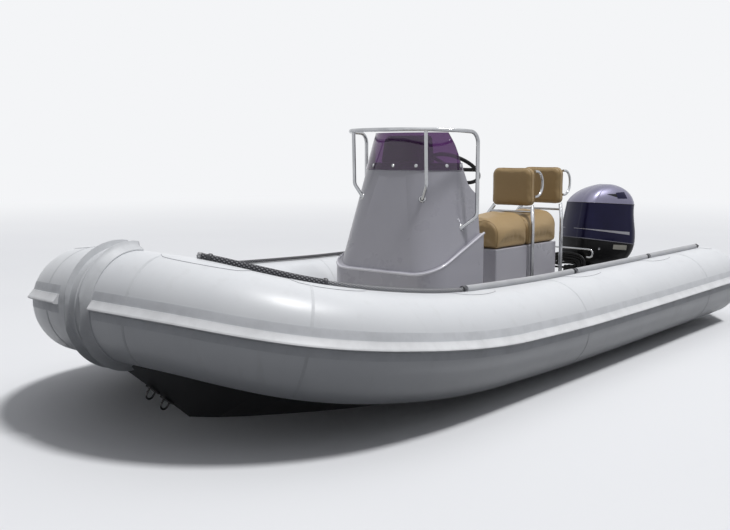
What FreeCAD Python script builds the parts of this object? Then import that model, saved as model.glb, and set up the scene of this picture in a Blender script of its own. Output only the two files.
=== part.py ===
import FreeCAD, Part
import math
import os

# Rigid inflatable boat with a centre console, two jockey seats and one outboard motor.
# Millimetres. +X to the bow, +Y to port, +Z up. The origin lies amidships on the waterline.

V = FreeCAD.Vector
OUT = "parts"

# Clearances
SEAT_GAP = 0.3
RUN_GAP = 8.0
SHAFT_GAP = 0.05

# Buoyancy tube. The path runs from the centreline at the bow, round the port side, to the stern.
TRANSOM_X = -2250.0
TUBE_R = 278.0
TUBE_PAST_TRANSOM = 300.0
TUBE_STERN_X = TRANSOM_X - TUBE_PAST_TRANSOM
CONE_L = 300.0
CONE_TIP_R = 120.0
# Columns: x, y, z, heading in plan, pitch, both in degrees
TUBE_NODES = [
    (2532.0, 0.0, 656.0, 90.0, 0.0),
    (2526.0, 120.0, 655.0, 95.0, -1.5),
    (2406.0, 531.0, 612.0, 120.0, -11.5),
    (2059.0, 876.0, 506.0, 150.5, -10.5),
    (1484.0, 1020.0, 412.0, 176.0, -7.5),
    (850.0, 1030.0, 356.0, 180.0, -2.0),
    (-50.0, 1030.0, 333.0, 180.0, -0.5),
    (TUBE_STERN_X, 1030.0, 328.0, 180.0, 0.0),
]
TUBE_Y = TUBE_NODES[-1][1]
TUBE_Z = TUBE_NODES[-1][2]

# Band round the tube at the bow
BAND_HALF_W = 140.0
BAND_T = 7.0
BAND_LIP_W = 16.0
BAND_LIP_T = 16.0
BAND_INNER_X = 60.0

# Rubbing strake on the tube's outside
STRAKE_H = 46.0
STRAKE_T = 27.0
STRAKE_LIFT = 24.0
STRAKE_CHAMFER = 6.0
STRAKE_GAP = 0.8
STRAKE_END_GAP = 2.0
STRAKE_END_LEAN = 24.0

# Lifeline along the tube's inner top
ROPE_R = 11.0
SLEEVE_R = 16.0
ROPE_ANGLE = 14.0
ROPE_FIRST_X = 2390.0
# Columns: x of each fitting; the rope is bare between the second and the third
FITTING_X = (2368.0, 1980.0, 979.0, -329.0, -1504.0, -2500.0)
FITTING_R = 25.0
FITTING_L = 46.0
FITTING_GAP = 0.8

# U-bolt eyes on the stem and on the transom
EYE_GAP = 44.0
EYE_REACH = 52.0
EYE_BAR_R = 5.5
EYE_PAD_W = 34.0
EYE_PAD_L = 78.0
EYE_PAD_T = 5.0
EYE_SINK = 12.0
BOW_EYE_Z = (196.0, 122.0)
STERN_EYE_Y = 520.0
STERN_EYE_Z = 90.0

# Hull. Columns: x, keel z, chine y, chine z, rail y, rail z
# Sections between these rows lie on smooth curves, this far apart
HULL_STEP = 130.0
HULL_SECTIONS = [
    (TRANSOM_X, -350.0, 880.0, -20.0, 970.0, 235.0),
    (400.0, -342.0, 865.0, -10.0, 970.0, 245.0),
    (1000.0, -318.0, 800.0, 15.0, 965.0, 280.0),
    (1484.0, -262.0, 690.0, 70.0, 945.0, 325.0),
    (1800.0, -190.0, 575.0, 130.0, 880.0, 380.0),
    (2059.0, -78.0, 450.0, 195.0, 790.0, 425.0),
    (2250.0, 84.0, 330.0, 260.0, 650.0, 475.0),
    (2406.0, 215.0, 215.0, 315.0, 480.0, 520.0),
    (2520.0, 310.0, 110.0, 350.0, 300.0, 550.0),
    (2600.0, 378.0, 30.0, 385.0, 150.0, 560.0),
]
TRANSOM_T = 60.0
TRANSOM_GAP = 0.9
TRANSOM_TOP_Z = 300.0
TRANSOM_NOTCH_HALF_W = 330.0
SHOULDER_TOP_Z = 420.0
SHOULDER_HALF_W = 790.0
SOLE_Z = 190.0
SOLE_T = 60.0
BOW_STEP_X = 1500.0
BOW_DECK_T = 60.0
LINER_INSET = 120.0

# Console. The lower moulding is upright; the upper one is raked at the front and tapered upwards,
# with corners that grow rounder as they rise
CONSOLE_FRONT_X = 550.0
CONSOLE_AFT_X = -25.0
CONSOLE_HALF_W = 435.0
CONSOLE_CORNER_R = 170.0
CONSOLE_CORNER_GROWTH = 0.144
RIDGE_FRONT_Z = 636.0
RIDGE_SLOPE = 0.40
RIDGE_STEP = 20.0
RIDGE_SIDE_STEP = 12.0
CONSOLE_TAPER_BASE_Z = 600.0
CONSOLE_RAKE = 0.215
CONSOLE_SIDE_TAPER = 0.0935
CONSOLE_TOP_Z = 1335.0
# Outline of the console's aft slope: x, z
DASH_PROFILE = [(125.0, CONSOLE_TOP_Z), (120.0, 1295.0), (78.0, 1200.0), (42.0, 1165.0), (-27.0, 1118.0)]
# Half width and reach of the spaces that trim the console
TRIM_HALF_W = 700.0
TRIM_REACH = 100.0
TRIM_TOP_Z = 2000.0

# Windscreen, a wrapped sheet on the outside of the console's top edge
SCREEN_T = 5.0
SCREEN_LAP = 45.0
SCREEN_TOP_Z = 1535.0
# Aft edge of its wings: x, z
SCREEN_AFT = [(140.0, 1260.0), (140.0, 1300.0), (178.0, 1455.0), (207.0, 1536.0)]
# Instrument hood on the console's top. Columns: x, height above the console
HOOD_PROFILE = [(150.0, 0.0), (178.0, 172.0), (205.0, 180.0), (262.0, 180.0), (300.0, 150.0), (335.0, 0.0)]
HOOD_HALF_W = 160.0
HOOD_EDGE_R = 14.0

# Handrail round the windscreen
RAIL_R = 13.0
# Columns: x, y, z, bend radius, from the hoop's middle to the port aft foot
RAIL_PORT_HALF = [
    (508.0, 0.0, 1552.0, 900.0),
    (498.0, 190.0, 1552.0, 600.0),
    (440.0, 335.0, 1550.0, 160.0),
    (310.0, 455.0, 1545.0, 200.0),
    (110.0, 475.0, 1535.0, 75.0),
    (110.0, 475.0, 985.0, 60.0),
    (215.0, 375.0, 880.0, 0.0),
]
# Front leg of the same columns, from the hoop to its foot
RAIL_LEG = [
    (450.0, 304.0, 1540.0, 0.0),
    (440.0, 304.0, 1190.0, 60.0),
    (412.0, 248.0, 1095.0, 0.0),
]
RAIL_LEG_R = 12.0

# Helm
WHEEL_CENTRE = (-94.0, 140.0, 1279.0)
WHEEL_R = 180.0
WHEEL_RIM_R = 13.0
WHEEL_RIM_RISE = 14.0
WHEEL_HUB_R = 38.0
WHEEL_HUB_BACK = 20.0
WHEEL_HUB_T = 34.0
WHEEL_TILT = 56.0
WHEEL_SPOKES = 3
SPOKE_W = 34.0
SPOKE_T = 9.0
SPOKE_RISE = 8.0
HELM_SHAFT_R = 12.0
HELM_SHAFT_L = 26.0
HELM_BEZEL_R = 34.0
HELM_NECK_R = 24.0
HELM_REACH = 200.0
HELM_GAP = 3.0

# Throttle control box on the starboard side of the dash, with its lever and grip
THROTTLE_X = (20.0, 110.0)
THROTTLE_Y = -190.0
THROTTLE_HALF_W = 35.0
THROTTLE_Z = (1130.0, 1262.0)
THROTTLE_EDGE_R = 12.0
LEVER_FOOT = (42.0, 1245.0)
LEVER_LEAN = -0.3
LEVER_R = 8.0
LEVER_L = 118.0
GRIP_R = 15.0
GRIP_HALF_L = 36.0

# Jockey seats, like for like. Columns: name, x of the front
SEATS = [("front", -568.0), ("rear", -1023.0)]
SEAT_L = 448.0
SEAT_HALF_W = 210.0
POD_CORNER_R = 14.0
POD_TOP_Z = 690.0
POD_INSET = 6.0
# Height of the cushion at its front and at its back
CUSHION_H = (215.0, 252.0)
CUSHION_TOP_R = 128.0
CUSHION_EDGE_R = 12.0
# Backrest: its legs lean from the knee into the pad's underside, joined by a bar
BACK_LEG_X = -477.0
BACK_LEG_Y = 230.0
BACK_KNEE_Z = 856.0
BACK_KNEE_R = 120.0
BACK_TOP_Y = 170.0
BACK_TUBE_R = 14.5
BACK_BAR_Z = 940.0
BACK_BAR_R = 9.0
BACK_PAD_X = -522.0
BACK_PAD_HALF_W = 190.0
BACK_PAD_Z = (975.0, 1292.0)
BACK_PAD_T = 85.0
PAD_LOW_R = 42.0
PAD_HIGH_R = 62.0
PAD_FACE_R = 22.0
# Hand loops behind each side of the pad
LOOP_Y = 165.0
LOOP_Z = (1056.0, 1252.0)
LOOP_REACH = 122.0
LOOP_TUBE_R = 10.0
LOOP_BEND_R = 92.0

# Outboard motor, drawn straight ahead and level, then turned to its resting steer and trim
TILT_AXIS = (-2262.0, 362.0)
STEER_X = -2450.0
STEER_REST = -30.0
TRIM_REST = -4.0
COWL_L = 600.0
COWL_HALF_W = 230.0
COWL_AHEAD = 215.0
COWL_FRONT_X = STEER_X + COWL_AHEAD
COWL_BASE_Z = 410.0
COWL_CAP_Z = 960.0
# The seam between the lower and the upper cowl slopes down aft: z at the front and at the back
COWL_SEAM_Z = (645.0, 600.0)
COWL_SIDE_BOW = 12.0
COWL_FRONT_BOW = 10.0
COWL_TAIL_BOW = 8.0
# Columns: z, front inset, aft inset, inset of each side, nose radius, tail radius
COWL_ROWS = [
    (COWL_BASE_Z, 40.0, 150.0, 60.0, 70.0, 90.0),
    (500.0, 10.0, 40.0, 12.0, 90.0, 110.0),
    (600.0, 0.0, 0.0, 0.0, 100.0, 120.0),
    (780.0, 12.0, 6.0, 4.0, 100.0, 120.0),
    (COWL_CAP_Z, 40.0, 18.0, 16.0, 95.0, 110.0),
]
CAP_ROWS = [
    (COWL_CAP_Z + SEAT_GAP, 40.0, 18.0, 16.0, 95.0, 110.0),
    (1037.0, 96.0, 38.0, 46.0, 90.0, 102.0),
    (1097.0, 188.0, 92.0, 96.0, 72.0, 80.0),
    (1134.0, 300.0, 185.0, 168.0, 40.0, 40.0),
]
# Engine block inside the cowls, measured back from the cowl's front
POWERHEAD_X = (120.0, 520.0)
POWERHEAD_HALF_W = 150.0
POWERHEAD_Z = (500.0, 880.0)
# Leg, its mounts above and below the swivel bracket, and the steering shaft through it
LEG_L = 165.0
LEG_HALF_W = 58.0
LEG_CORNER_R = 46.0
MOUNT_HALF_W = 80.0
MOUNT_FRONT = 80.0
YOKE_HALF_W = 45.0
YOKE_FRONT = 45.0
YOKE_T = 34.0
YOKE_SINK = 20.0
# Gearcase. Columns of the strut: z, front and back measured from the steering axis, half width
PLATE_Z = -335.0
PLATE_T = 12.0
PLATE_X = (-330.0, 60.0)
PLATE_HALF_W = 110.0
PLATE_CORNER_R = 90.0
PROP_Z = -530.0
SKEG_Z = -765.0
STRUT_ROWS = [
    (PLATE_Z + 1.0, 80.0, -160.0, 40.0),
    (PROP_Z, 110.0, -150.0, 30.0),
    (SKEG_Z, -60.0, -170.0, 5.0),
]
TORPEDO_BACK = -190.0
TORPEDO_L = 300.0
NOSE_L = 90.0
NOSE_R = 14.0
SWIVEL_R = 52.0
SWIVEL_Z = (20.0, 350.0)
STEER_SHAFT_R = 20.0
TILT_ROD_R = 18.0
CLAMP_Y = (105.0, 135.0)
SWIVEL_HALF_W = 95.0
GEARCASE_R = 58.0
PROP_R = 165.0
PROP_HUB_R = 48.0
PROP_HUB_L = 130.0
PROP_HUB_TAPER = 12.0
PROP_SHAFT_R = 12.0
PROP_SHAFT_L = 180.0
PROP_BLADES = 3
# Sections of one blade. Columns: radius, x and y of the front edge, x and y of the back edge, thickness
BLADE_ROWS = [
    (PROP_HUB_R - 16.0, 20.0, -22.0, 110.0, 22.0, 5.0),
    (PROP_R * 0.62, 10.0, -70.0, 100.0, 70.0, 4.0),
    (PROP_R, 40.0, -40.0, 80.0, 40.0, 3.0),
]
# Clamp bracket's cheek: its foot, and how far it stands off the tilt axis
CLAMP_FOOT_Z = -40.0
CLAMP_FOOT_REACH = 62.0
CLAMP_FRONT = 24.0
CLAMP_RISE = 22.0
CLAMP_LEAN = 10.0
SWIVEL_HEAD_T = 44.0
SWIVEL_LUG_R = TILT_ROD_R + 18.0
# Steering cylinder across the front of the swivel bracket's lug
RAM_X = 70.0
RAM_RISE = 12.0
RAM_BODY_R = 24.0
RAM_BODY_HALF_L = 95.0
RAM_ROD_R = 9.0
RAM_ROD_HALF_L = 250.0
# Columns: y of the starboard face of each of its two arms
RAM_ARM_Y = (-80.0, 50.0)
RAM_ARM_T = 30.0
RAM_ARM_Z = (-12.0, 20.0)


def vec(p):
    return V(p[0], p[1], p[2])


def face(points):
    """Plane face through a closed list of points."""
    return Part.Face(Part.makePolygon(list(points) + [points[0]]))


def mirror(shape):
    """The same piece on the starboard side."""
    return shape.mirror(V(0, 0, 0), V(0, 1, 0))


def box(x0, x1, y0, y1, z0, z1):
    return Part.makeBox(x1 - x0, y1 - y0, z1 - z0, V(x0, y0, z0))


def tangent(heading, pitch):
    h = math.radians(heading)
    p = math.radians(pitch)
    return V(math.cos(h) * math.cos(p), math.sin(h) * math.cos(p), math.sin(p))


def arc_from(a, direction, b):
    """Arc from a, starting along direction, to b; a straight line where they line up."""
    chord = b - a
    length = chord.Length
    unit = chord * (1.0 / length)
    side = direction - unit * direction.dot(unit)
    if side.Length < 1e-4:
        return Part.LineSegment(a, b).toShape()
    angle = math.atan2(side.Length, direction.dot(unit))
    side.normalize()
    middle = a + chord * 0.5 + side * (length / 2.0 * math.tan(angle / 2.0))
    return Part.Arc(a, middle, b).toShape()


def smooth_path(stations):
    """Wire of tangent arcs, two for each span; stations are (point, unit tangent)."""
    edges = []
    for (p0, t0), (p1, t1) in zip(stations, stations[1:]):
        v = p1 - p0
        t = t0 + t1
        a = 2.0 * (1.0 - t0.dot(t1))
        b = 2.0 * v.dot(t)
        c = -v.dot(v)
        if a < 1e-6:
            d = -c / b
        else:
            d = (-b + math.sqrt(b * b - 4.0 * a * c)) / (2.0 * a)
        join = (p0 + t0 * d + p1 - t1 * d) * 0.5
        edges.append(arc_from(p0, t0, join))
        back = arc_from(p1, t1 * -1.0, join)
        edges.append(back)
    return Part.Wire(Part.__sortEdges__(edges))


def bent_path(rows):
    """Straight runs joined by tangent bends; rows are (x, y, z, bend radius)."""
    points = [vec(r) for r in rows]
    edges = []
    start = points[0]
    for i in range(1, len(points) - 1):
        before = points[i - 1] - points[i]
        after = points[i + 1] - points[i]
        before.normalize()
        after.normalize()
        half = before.getAngle(after) / 2.0
        radius = rows[i][3]
        cut = radius / math.tan(half)
        a = points[i] + before * cut
        b = points[i] + after * cut
        middle_dir = before + after
        middle_dir.normalize()
        middle = points[i] + middle_dir * (radius / math.sin(half) - radius)
        if (a - start).Length > 0.01:
            edges.append(Part.LineSegment(start, a).toShape())
        edges.append(Part.Arc(a, middle, b).toShape())
        start = b
    edges.append(Part.LineSegment(start, points[-1]).toShape())
    return Part.Wire(edges)


def pipe(path, radius):
    """Round bar along a path."""
    first = path.OrderedEdges[0]
    start = first.valueAt(first.FirstParameter)
    along = first.tangentAt(first.FirstParameter)
    if (start - path.OrderedVertexes[0].Point).Length > 0.01:
        start = first.valueAt(first.LastParameter)
        along = first.tangentAt(first.LastParameter) * -1.0
    ring = Part.Wire(Part.makeCircle(radius, start, along))
    return path.makePipeShell([ring], True, False)


def upright_sweep(path, outline):
    """Solid swept along a path with its section kept upright."""
    maker = Part.BRepOffsetAPI.MakePipeShell(path)
    maker.setBiNormalMode(V(0, 0, 1))
    maker.add(outline)
    maker.build()
    maker.makeSolid()
    return maker.shape()


def tube_stations():
    """Tube nodes with their tangents."""
    return [(V(x, y, z), tangent(heading, pitch)) for x, y, z, heading, pitch in TUBE_NODES]


def offset_stations(side, lift, first_x):
    """Stations beside the tube's path, outboard by side and up by lift, aft of first_x."""
    rows = []
    for edge in smooth_path(tube_stations()).OrderedEdges:
        for q in (edge.FirstParameter, (edge.FirstParameter + edge.LastParameter) / 2.0, edge.LastParameter):
            t = edge.tangentAt(q)
            if t.x > 0.0 or t.y < -0.01:
                t = t * -1.0
            out = V(t.y, -t.x, 0)
            out.normalize()
            p = edge.valueAt(q) + out * side + out.cross(t) * lift
            rows.append((p, t))
    rows.sort(key=lambda row: -row[0].x)
    kept = []
    for p, t in rows:
        if p.x < first_x and (not kept or (p - kept[-1][0]).Length > 20.0):
            kept.append((p, t))
    return kept


def tube_solid(radius, path=None):
    return pipe(path or smooth_path(tube_stations()), radius)


def cone_solid():
    """Tapered end of the tube, rounded over into a small flat end."""
    x0 = TUBE_STERN_X - SEAT_GAP
    x1 = x0 - CONE_L
    turn_x = x1 + CONE_TIP_R * 0.6
    points = [
        V(x0, TUBE_Y, TUBE_Z),
        V(x0, TUBE_Y, TUBE_Z + TUBE_R),
        V(turn_x, TUBE_Y, TUBE_Z + CONE_TIP_R),
        V(x1, TUBE_Y, TUBE_Z + CONE_TIP_R * 0.35),
        V(x1, TUBE_Y, TUBE_Z),
    ]
    bulge = V(x1 + CONE_TIP_R * 0.14, TUBE_Y, TUBE_Z + CONE_TIP_R * 0.76)
    edges = [
        Part.LineSegment(points[0], points[1]),
        Part.LineSegment(points[1], points[2]),
        Part.Arc(points[2], bulge, points[3]),
        Part.LineSegment(points[3], points[4]),
        Part.LineSegment(points[4], points[0]),
    ]
    profile = Part.Face(Part.Wire([e.toShape() for e in edges]))
    return profile.revolve(points[0], V(1, 0, 0), 360)


def tube_cutter():
    """Space of both tubes with a seating gap, to be cut from what carries them."""
    port = tube_solid(TUBE_R + SEAT_GAP)
    return port.fuse(mirror(port))


def make_tubes():
    port = tube_solid(TUBE_R)
    cone = cone_solid()
    return {
        "tube_port": port,
        "tube_starboard": mirror(port),
        "tube_cone_port": cone,
        "tube_cone_starboard": mirror(cone),
    }


def bow_space(x0, y0, y1):
    """Box round the tube at the bow, forward of x0."""
    reach = 2.0 * TUBE_R
    x, z = TUBE_NODES[0][0], TUBE_NODES[0][2]
    return box(x0, x + reach, y0, y1, z - reach, z + reach)


def ring_sweep(inner, outer, y0, y1):
    """Hoop round the tube at the bow, between two planes along the boat."""
    path = smooth_path(tube_stations()[:3])
    port = tube_solid(outer, path).cut(tube_solid(inner, path))
    return port.common(bow_space(TUBE_NODES[0][0] - 2.0 * TUBE_R, y0, y1))


def make_bow_band():
    inner = TUBE_R + SEAT_GAP
    strap = ring_sweep(inner, TUBE_R + BAND_T, 0.0, BAND_HALF_W - BAND_LIP_W)
    lip = ring_sweep(inner, TUBE_R + BAND_LIP_T, BAND_HALF_W - BAND_LIP_W, BAND_HALF_W)
    half = strap.fuse(lip)
    front = bow_space(TUBE_NODES[0][0] - BAND_INNER_X, -BAND_HALF_W, BAND_HALF_W)
    return half.fuse(mirror(half)).removeSplitter().common(front)


def make_strake():
    """Rubbing strake whose inner face follows the tube's round; it stops beside the bow band."""
    inner = TUBE_R + STRAKE_GAP
    x0 = TUBE_NODES[0][0]
    z0 = TUBE_NODES[0][2]
    low, high = STRAKE_LIFT, STRAKE_LIFT + STRAKE_H
    seat = []
    for rise in (high, (low + high) / 2.0, low):
        seat.append(V(x0 + math.sqrt(inner ** 2 - rise ** 2), 0, z0 + rise))
    out = x0 + inner + STRAKE_T
    outer = [
        seat[2],
        V(out - STRAKE_CHAMFER, 0, z0 + low),
        V(out, 0, z0 + low + STRAKE_CHAMFER),
        V(out, 0, z0 + high - STRAKE_CHAMFER),
        V(out - STRAKE_CHAMFER, 0, z0 + high),
        seat[0],
    ]
    edges = [Part.Arc(*seat).toShape()]
    edges += [Part.LineSegment(a, b).toShape() for a, b in zip(outer, outer[1:])]
    swept = upright_sweep(smooth_path(tube_stations()), Part.Wire(edges))
    clear = BAND_HALF_W + STRAKE_END_GAP
    lean = STRAKE_END_LEAN / STRAKE_H
    below, above = z0 + low - STRAKE_H, z0 + high + STRAKE_H
    gap = face([
        V(x0, -STRAKE_H, below),
        V(x0, clear - lean * STRAKE_H, below),
        V(x0, clear + lean * 2.0 * STRAKE_H, above),
        V(x0, -STRAKE_H, above),
    ])
    return swept.cut(gap.extrude(V(out - x0 + STRAKE_T, 0, 0)))


def rope_offset(radius):
    """Outboard offset and lift of a rope of this radius on the tube's inner top."""
    reach = TUBE_R + SEAT_GAP + radius
    a = math.radians(ROPE_ANGLE)
    return -reach * math.sin(a), reach * math.cos(a)


def lifeline_path():
    side, lift = rope_offset(SLEEVE_R)
    return smooth_path(offset_stations(side, lift, ROPE_FIRST_X))


def make_lifeline(path):
    """Port lifeline: sleeved at the bow, bare from the second fitting to the third, then sleeved."""
    start, end = FITTING_X[1], FITTING_X[2]
    reach = 2.0 * TUBE_R
    bare = box(end, start, TUBE_Y - TUBE_R, TUBE_Y + TUBE_R, TUBE_Z, TUBE_Z + 2.0 * reach)
    space = box(end - SEAT_GAP, start + SEAT_GAP, TUBE_Y - reach, TUBE_Y + reach,
                TUBE_Z, TUBE_Z + 2.0 * reach)
    sleeved = pipe(path, SLEEVE_R).cut(space)
    return Part.makeCompound(sleeved.Solids + pipe(path, ROPE_R).common(bare).Solids)


def make_fittings(rope_path_edges, tube):
    """Rings that hold the lifeline down on the tube."""
    solids = []
    for x in FITTING_X:
        best = None
        for edge in rope_path_edges:
            for k in range(41):
                q = edge.FirstParameter + (edge.LastParameter - edge.FirstParameter) * k / 40.0
                p = edge.valueAt(q)
                if best is None or abs(p.x - x) < best[0]:
                    best = (abs(p.x - x), p, edge.tangentAt(q))
        along = best[2]
        start = best[1] - along * (FITTING_L / 2.0)
        outer = Part.makeCylinder(FITTING_R, FITTING_L, start, along)
        inner = Part.makeCylinder(SLEEVE_R + FITTING_GAP, FITTING_L, start, along)
        solids.append(outer.cut(inner).cut(tube))
    return solids


def curve_slopes(rows, column):
    """Slope of one column of a table over its first, at each row."""
    slopes = []
    for i in range(len(rows)):
        before, after = rows[max(i - 1, 0)], rows[min(i + 1, len(rows) - 1)]
        slopes.append((after[column] - before[column]) / (after[0] - before[0]))
    return slopes


def hull_rows():
    """The hull's table with rows added along cubic curves, so that its bow is fair."""
    slopes = [curve_slopes(HULL_SECTIONS, column) for column in range(len(HULL_SECTIONS[0]))]
    rows = [HULL_SECTIONS[0], HULL_SECTIONS[1]]
    for i in range(1, len(HULL_SECTIONS) - 1):
        low, high = HULL_SECTIONS[i], HULL_SECTIONS[i + 1]
        span = high[0] - low[0]
        count = max(1, round(span / HULL_STEP))
        for k in range(1, count + 1):
            q = k / count
            row = [low[0] + span * q]
            for column in range(1, len(low)):
                m0, m1 = slopes[column][i] * span, slopes[column][i + 1] * span
                row.append(
                    low[column] * (2 * q ** 3 - 3 * q ** 2 + 1) + m0 * (q ** 3 - 2 * q ** 2 + q)
                    + high[column] * (3 * q ** 2 - 2 * q ** 3) + m1 * (q ** 3 - q ** 2)
                )
            rows.append(row)
    return rows


def hull_section(row):
    x, keel, chine_y, chine_z, rail_y, rail_z = row
    points = [
        V(x, 0, keel),
        V(x, chine_y, chine_z),
        V(x, rail_y, rail_z),
        V(x, -rail_y, rail_z),
        V(x, -chine_y, chine_z),
    ]
    return Part.makePolygon(points + [points[0]])


def box_section(x, half_w, z0, z1):
    points = [V(x, half_w, z0), V(x, half_w, z1), V(x, -half_w, z1), V(x, -half_w, z0)]
    return Part.makePolygon(points + [points[0]])


def make_hull_and_liner():
    full = Part.makeLoft([hull_section(row) for row in hull_rows()], True, True)
    full = full.cut(tube_cutter())
    roof = TUBE_Z + 2.0 * TUBE_R
    half_w = HULL_SECTIONS[0][4] - LINER_INSET
    well = box(TRANSOM_X - 1, BOW_STEP_X, -TUBE_Y, TUBE_Y, SOLE_Z, roof)
    full = full.cut(well)
    sole = box(TRANSOM_X - 1, BOW_STEP_X + SOLE_T / 2, -half_w, half_w, SOLE_Z - SOLE_T, roof)
    before = [row for row in HULL_SECTIONS if row[0] <= BOW_STEP_X][-1]
    bow_rows = [row for row in HULL_SECTIONS if row[0] > BOW_STEP_X]
    share = (BOW_STEP_X - before[0]) / (bow_rows[0][0] - before[0])
    step = [p + (q - p) * share for p, q in zip(before, bow_rows[0])]
    sections = []
    for row in [step] + bow_rows[:-1]:
        sections.append(
            box_section(row[0], row[4] - LINER_INSET, row[5] - BOW_DECK_T, roof)
        )
    bow = Part.makeLoft(sections, True, True)
    core = sole.fuse(bow)
    return {"hull": full.cut(core), "deck_liner": full.common(core)}


def make_transom():
    row = HULL_SECTIONS[0]
    x = TRANSOM_X - SEAT_GAP
    half = [
        V(x, 0, row[1]),
        V(x, row[2], row[3]),
        V(x, row[4], row[5]),
        V(x, SHOULDER_HALF_W, SHOULDER_TOP_Z),
        V(x, TRANSOM_NOTCH_HALF_W + 60.0, SHOULDER_TOP_Z),
        V(x, TRANSOM_NOTCH_HALF_W, TRANSOM_TOP_Z),
    ]
    other = [V(p.x, -p.y, p.z) for p in reversed(half[1:])]
    plate = face(half + other).extrude(V(-TRANSOM_T, 0, 0))
    tube = Part.makeCylinder(TUBE_R + TRANSOM_GAP, 3.0 * TRANSOM_T,
                             V(x + TRANSOM_T, TUBE_Y, TUBE_Z), V(-1, 0, 0))
    return plate.cut([tube, mirror(tube)])


def plan_outline(z, front, half, aft, r):
    """Plan outline with a flat front, rounded front corners and a square back."""
    k = r * (1.0 - math.sqrt(0.5))
    edges = [
        Part.LineSegment(V(aft, -half, z), V(front - r, -half, z)),
        Part.Arc(V(front - r, -half, z), V(front - k, -half + k, z), V(front, -half + r, z)),
        Part.LineSegment(V(front, -half + r, z), V(front, half - r, z)),
        Part.Arc(V(front, half - r, z), V(front - k, half - k, z), V(front - r, half, z)),
        Part.LineSegment(V(front - r, half, z), V(aft, half, z)),
        Part.LineSegment(V(aft, half, z), V(aft, -half, z)),
    ]
    return Part.Wire([e.toShape() for e in edges])


def console_wire(z, grow=0.0):
    """Outline of the upper moulding at a height, grown outwards."""
    rise = z - CONSOLE_TAPER_BASE_Z
    front = CONSOLE_FRONT_X - CONSOLE_RAKE * rise + grow
    half = CONSOLE_HALF_W - CONSOLE_SIDE_TAPER * rise + grow
    corner = CONSOLE_CORNER_R + CONSOLE_CORNER_GROWTH * rise + grow
    return plan_outline(z, front, half, CONSOLE_AFT_X, corner)


def side_space(profile):
    """Space of a closed outline of x and z, right across the console."""
    points = [V(x, -TRIM_HALF_W, z) for x, z in profile]
    return face(points).extrude(V(0, 2.0 * TRIM_HALF_W, 0))


def ridge_space(above, shift=0.0):
    """Everything above or below the sloping ridge between the console's mouldings."""
    ends = (CONSOLE_FRONT_X + TRIM_REACH, CONSOLE_AFT_X - TRIM_REACH)
    profile = [(x, RIDGE_FRONT_Z + RIDGE_SLOPE * (CONSOLE_FRONT_X - x) + shift) for x in ends]
    far = TRIM_TOP_Z if above else SOLE_Z - TRIM_REACH
    return side_space(profile + [(x, far) for x in reversed(ends)])


def dash_space():
    """Everything aft of the console's upper aft slope."""
    aft = CONSOLE_AFT_X - TRIM_REACH
    ends = [(aft, DASH_PROFILE[-1][1]), (aft, TRIM_TOP_Z), (DASH_PROFILE[0][0], TRIM_TOP_Z)]
    return side_space(DASH_PROFILE + ends)


def make_console():
    base = plan_outline(SOLE_Z + SEAT_GAP, CONSOLE_FRONT_X + RIDGE_STEP, CONSOLE_HALF_W + RIDGE_SIDE_STEP,
                        CONSOLE_AFT_X, CONSOLE_CORNER_R)
    lower = Part.Face(base).extrude(V(0, 0, CONSOLE_TOP_Z - SOLE_Z)).common(ridge_space(False))
    upper = Part.makeLoft([console_wire(CONSOLE_TAPER_BASE_Z), console_wire(CONSOLE_TOP_Z)], True, True)
    upper = upper.common(ridge_space(True, SEAT_GAP)).cut(dash_space())
    return {"console_lower": lower, "console_upper": upper}


def make_windscreen():
    z0 = CONSOLE_TOP_Z - SCREEN_LAP
    outer_gap = SCREEN_T + SEAT_GAP
    outer = Part.makeLoft([console_wire(z0, outer_gap), console_wire(SCREEN_TOP_Z, outer_gap)], True, True)
    inner = Part.makeLoft([console_wire(z0 - 1, SEAT_GAP), console_wire(SCREEN_TOP_Z + 1, SEAT_GAP)],
                          True, True)
    shell = outer.cut(inner)
    ends = [(CONSOLE_FRONT_X, SCREEN_AFT[-1][1]), (CONSOLE_FRONT_X, SCREEN_AFT[0][1])]
    return shell.common(side_space(SCREEN_AFT + ends))


def make_hood():
    """Instrument hood behind the windscreen, with its two sides rounded over."""
    z0 = CONSOLE_TOP_Z + SEAT_GAP
    points = [V(x, -HOOD_HALF_W, z0 + rise) for x, rise in HOOD_PROFILE]
    block = face(points).extrude(V(0, 2.0 * HOOD_HALF_W, 0))
    rims = [e for e in block.Edges if e.BoundBox.YLength < 1.0 and e.BoundBox.ZMax > z0 + 1.0]
    return block.makeFillet(HOOD_EDGE_R, rims)


def make_rail(console):
    starboard = [(x, -y, z, r) for x, y, z, r in reversed(RAIL_PORT_HALF[1:])]
    hoop = pipe(bent_path(starboard + RAIL_PORT_HALF), RAIL_R)
    leg = pipe(bent_path(RAIL_LEG), RAIL_LEG_R)
    return hoop.fuse([leg, mirror(leg)]).cut(console)


def wheel_direction():
    a = math.radians(WHEEL_TILT)
    return V(-math.cos(a), 0, math.sin(a))


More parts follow.
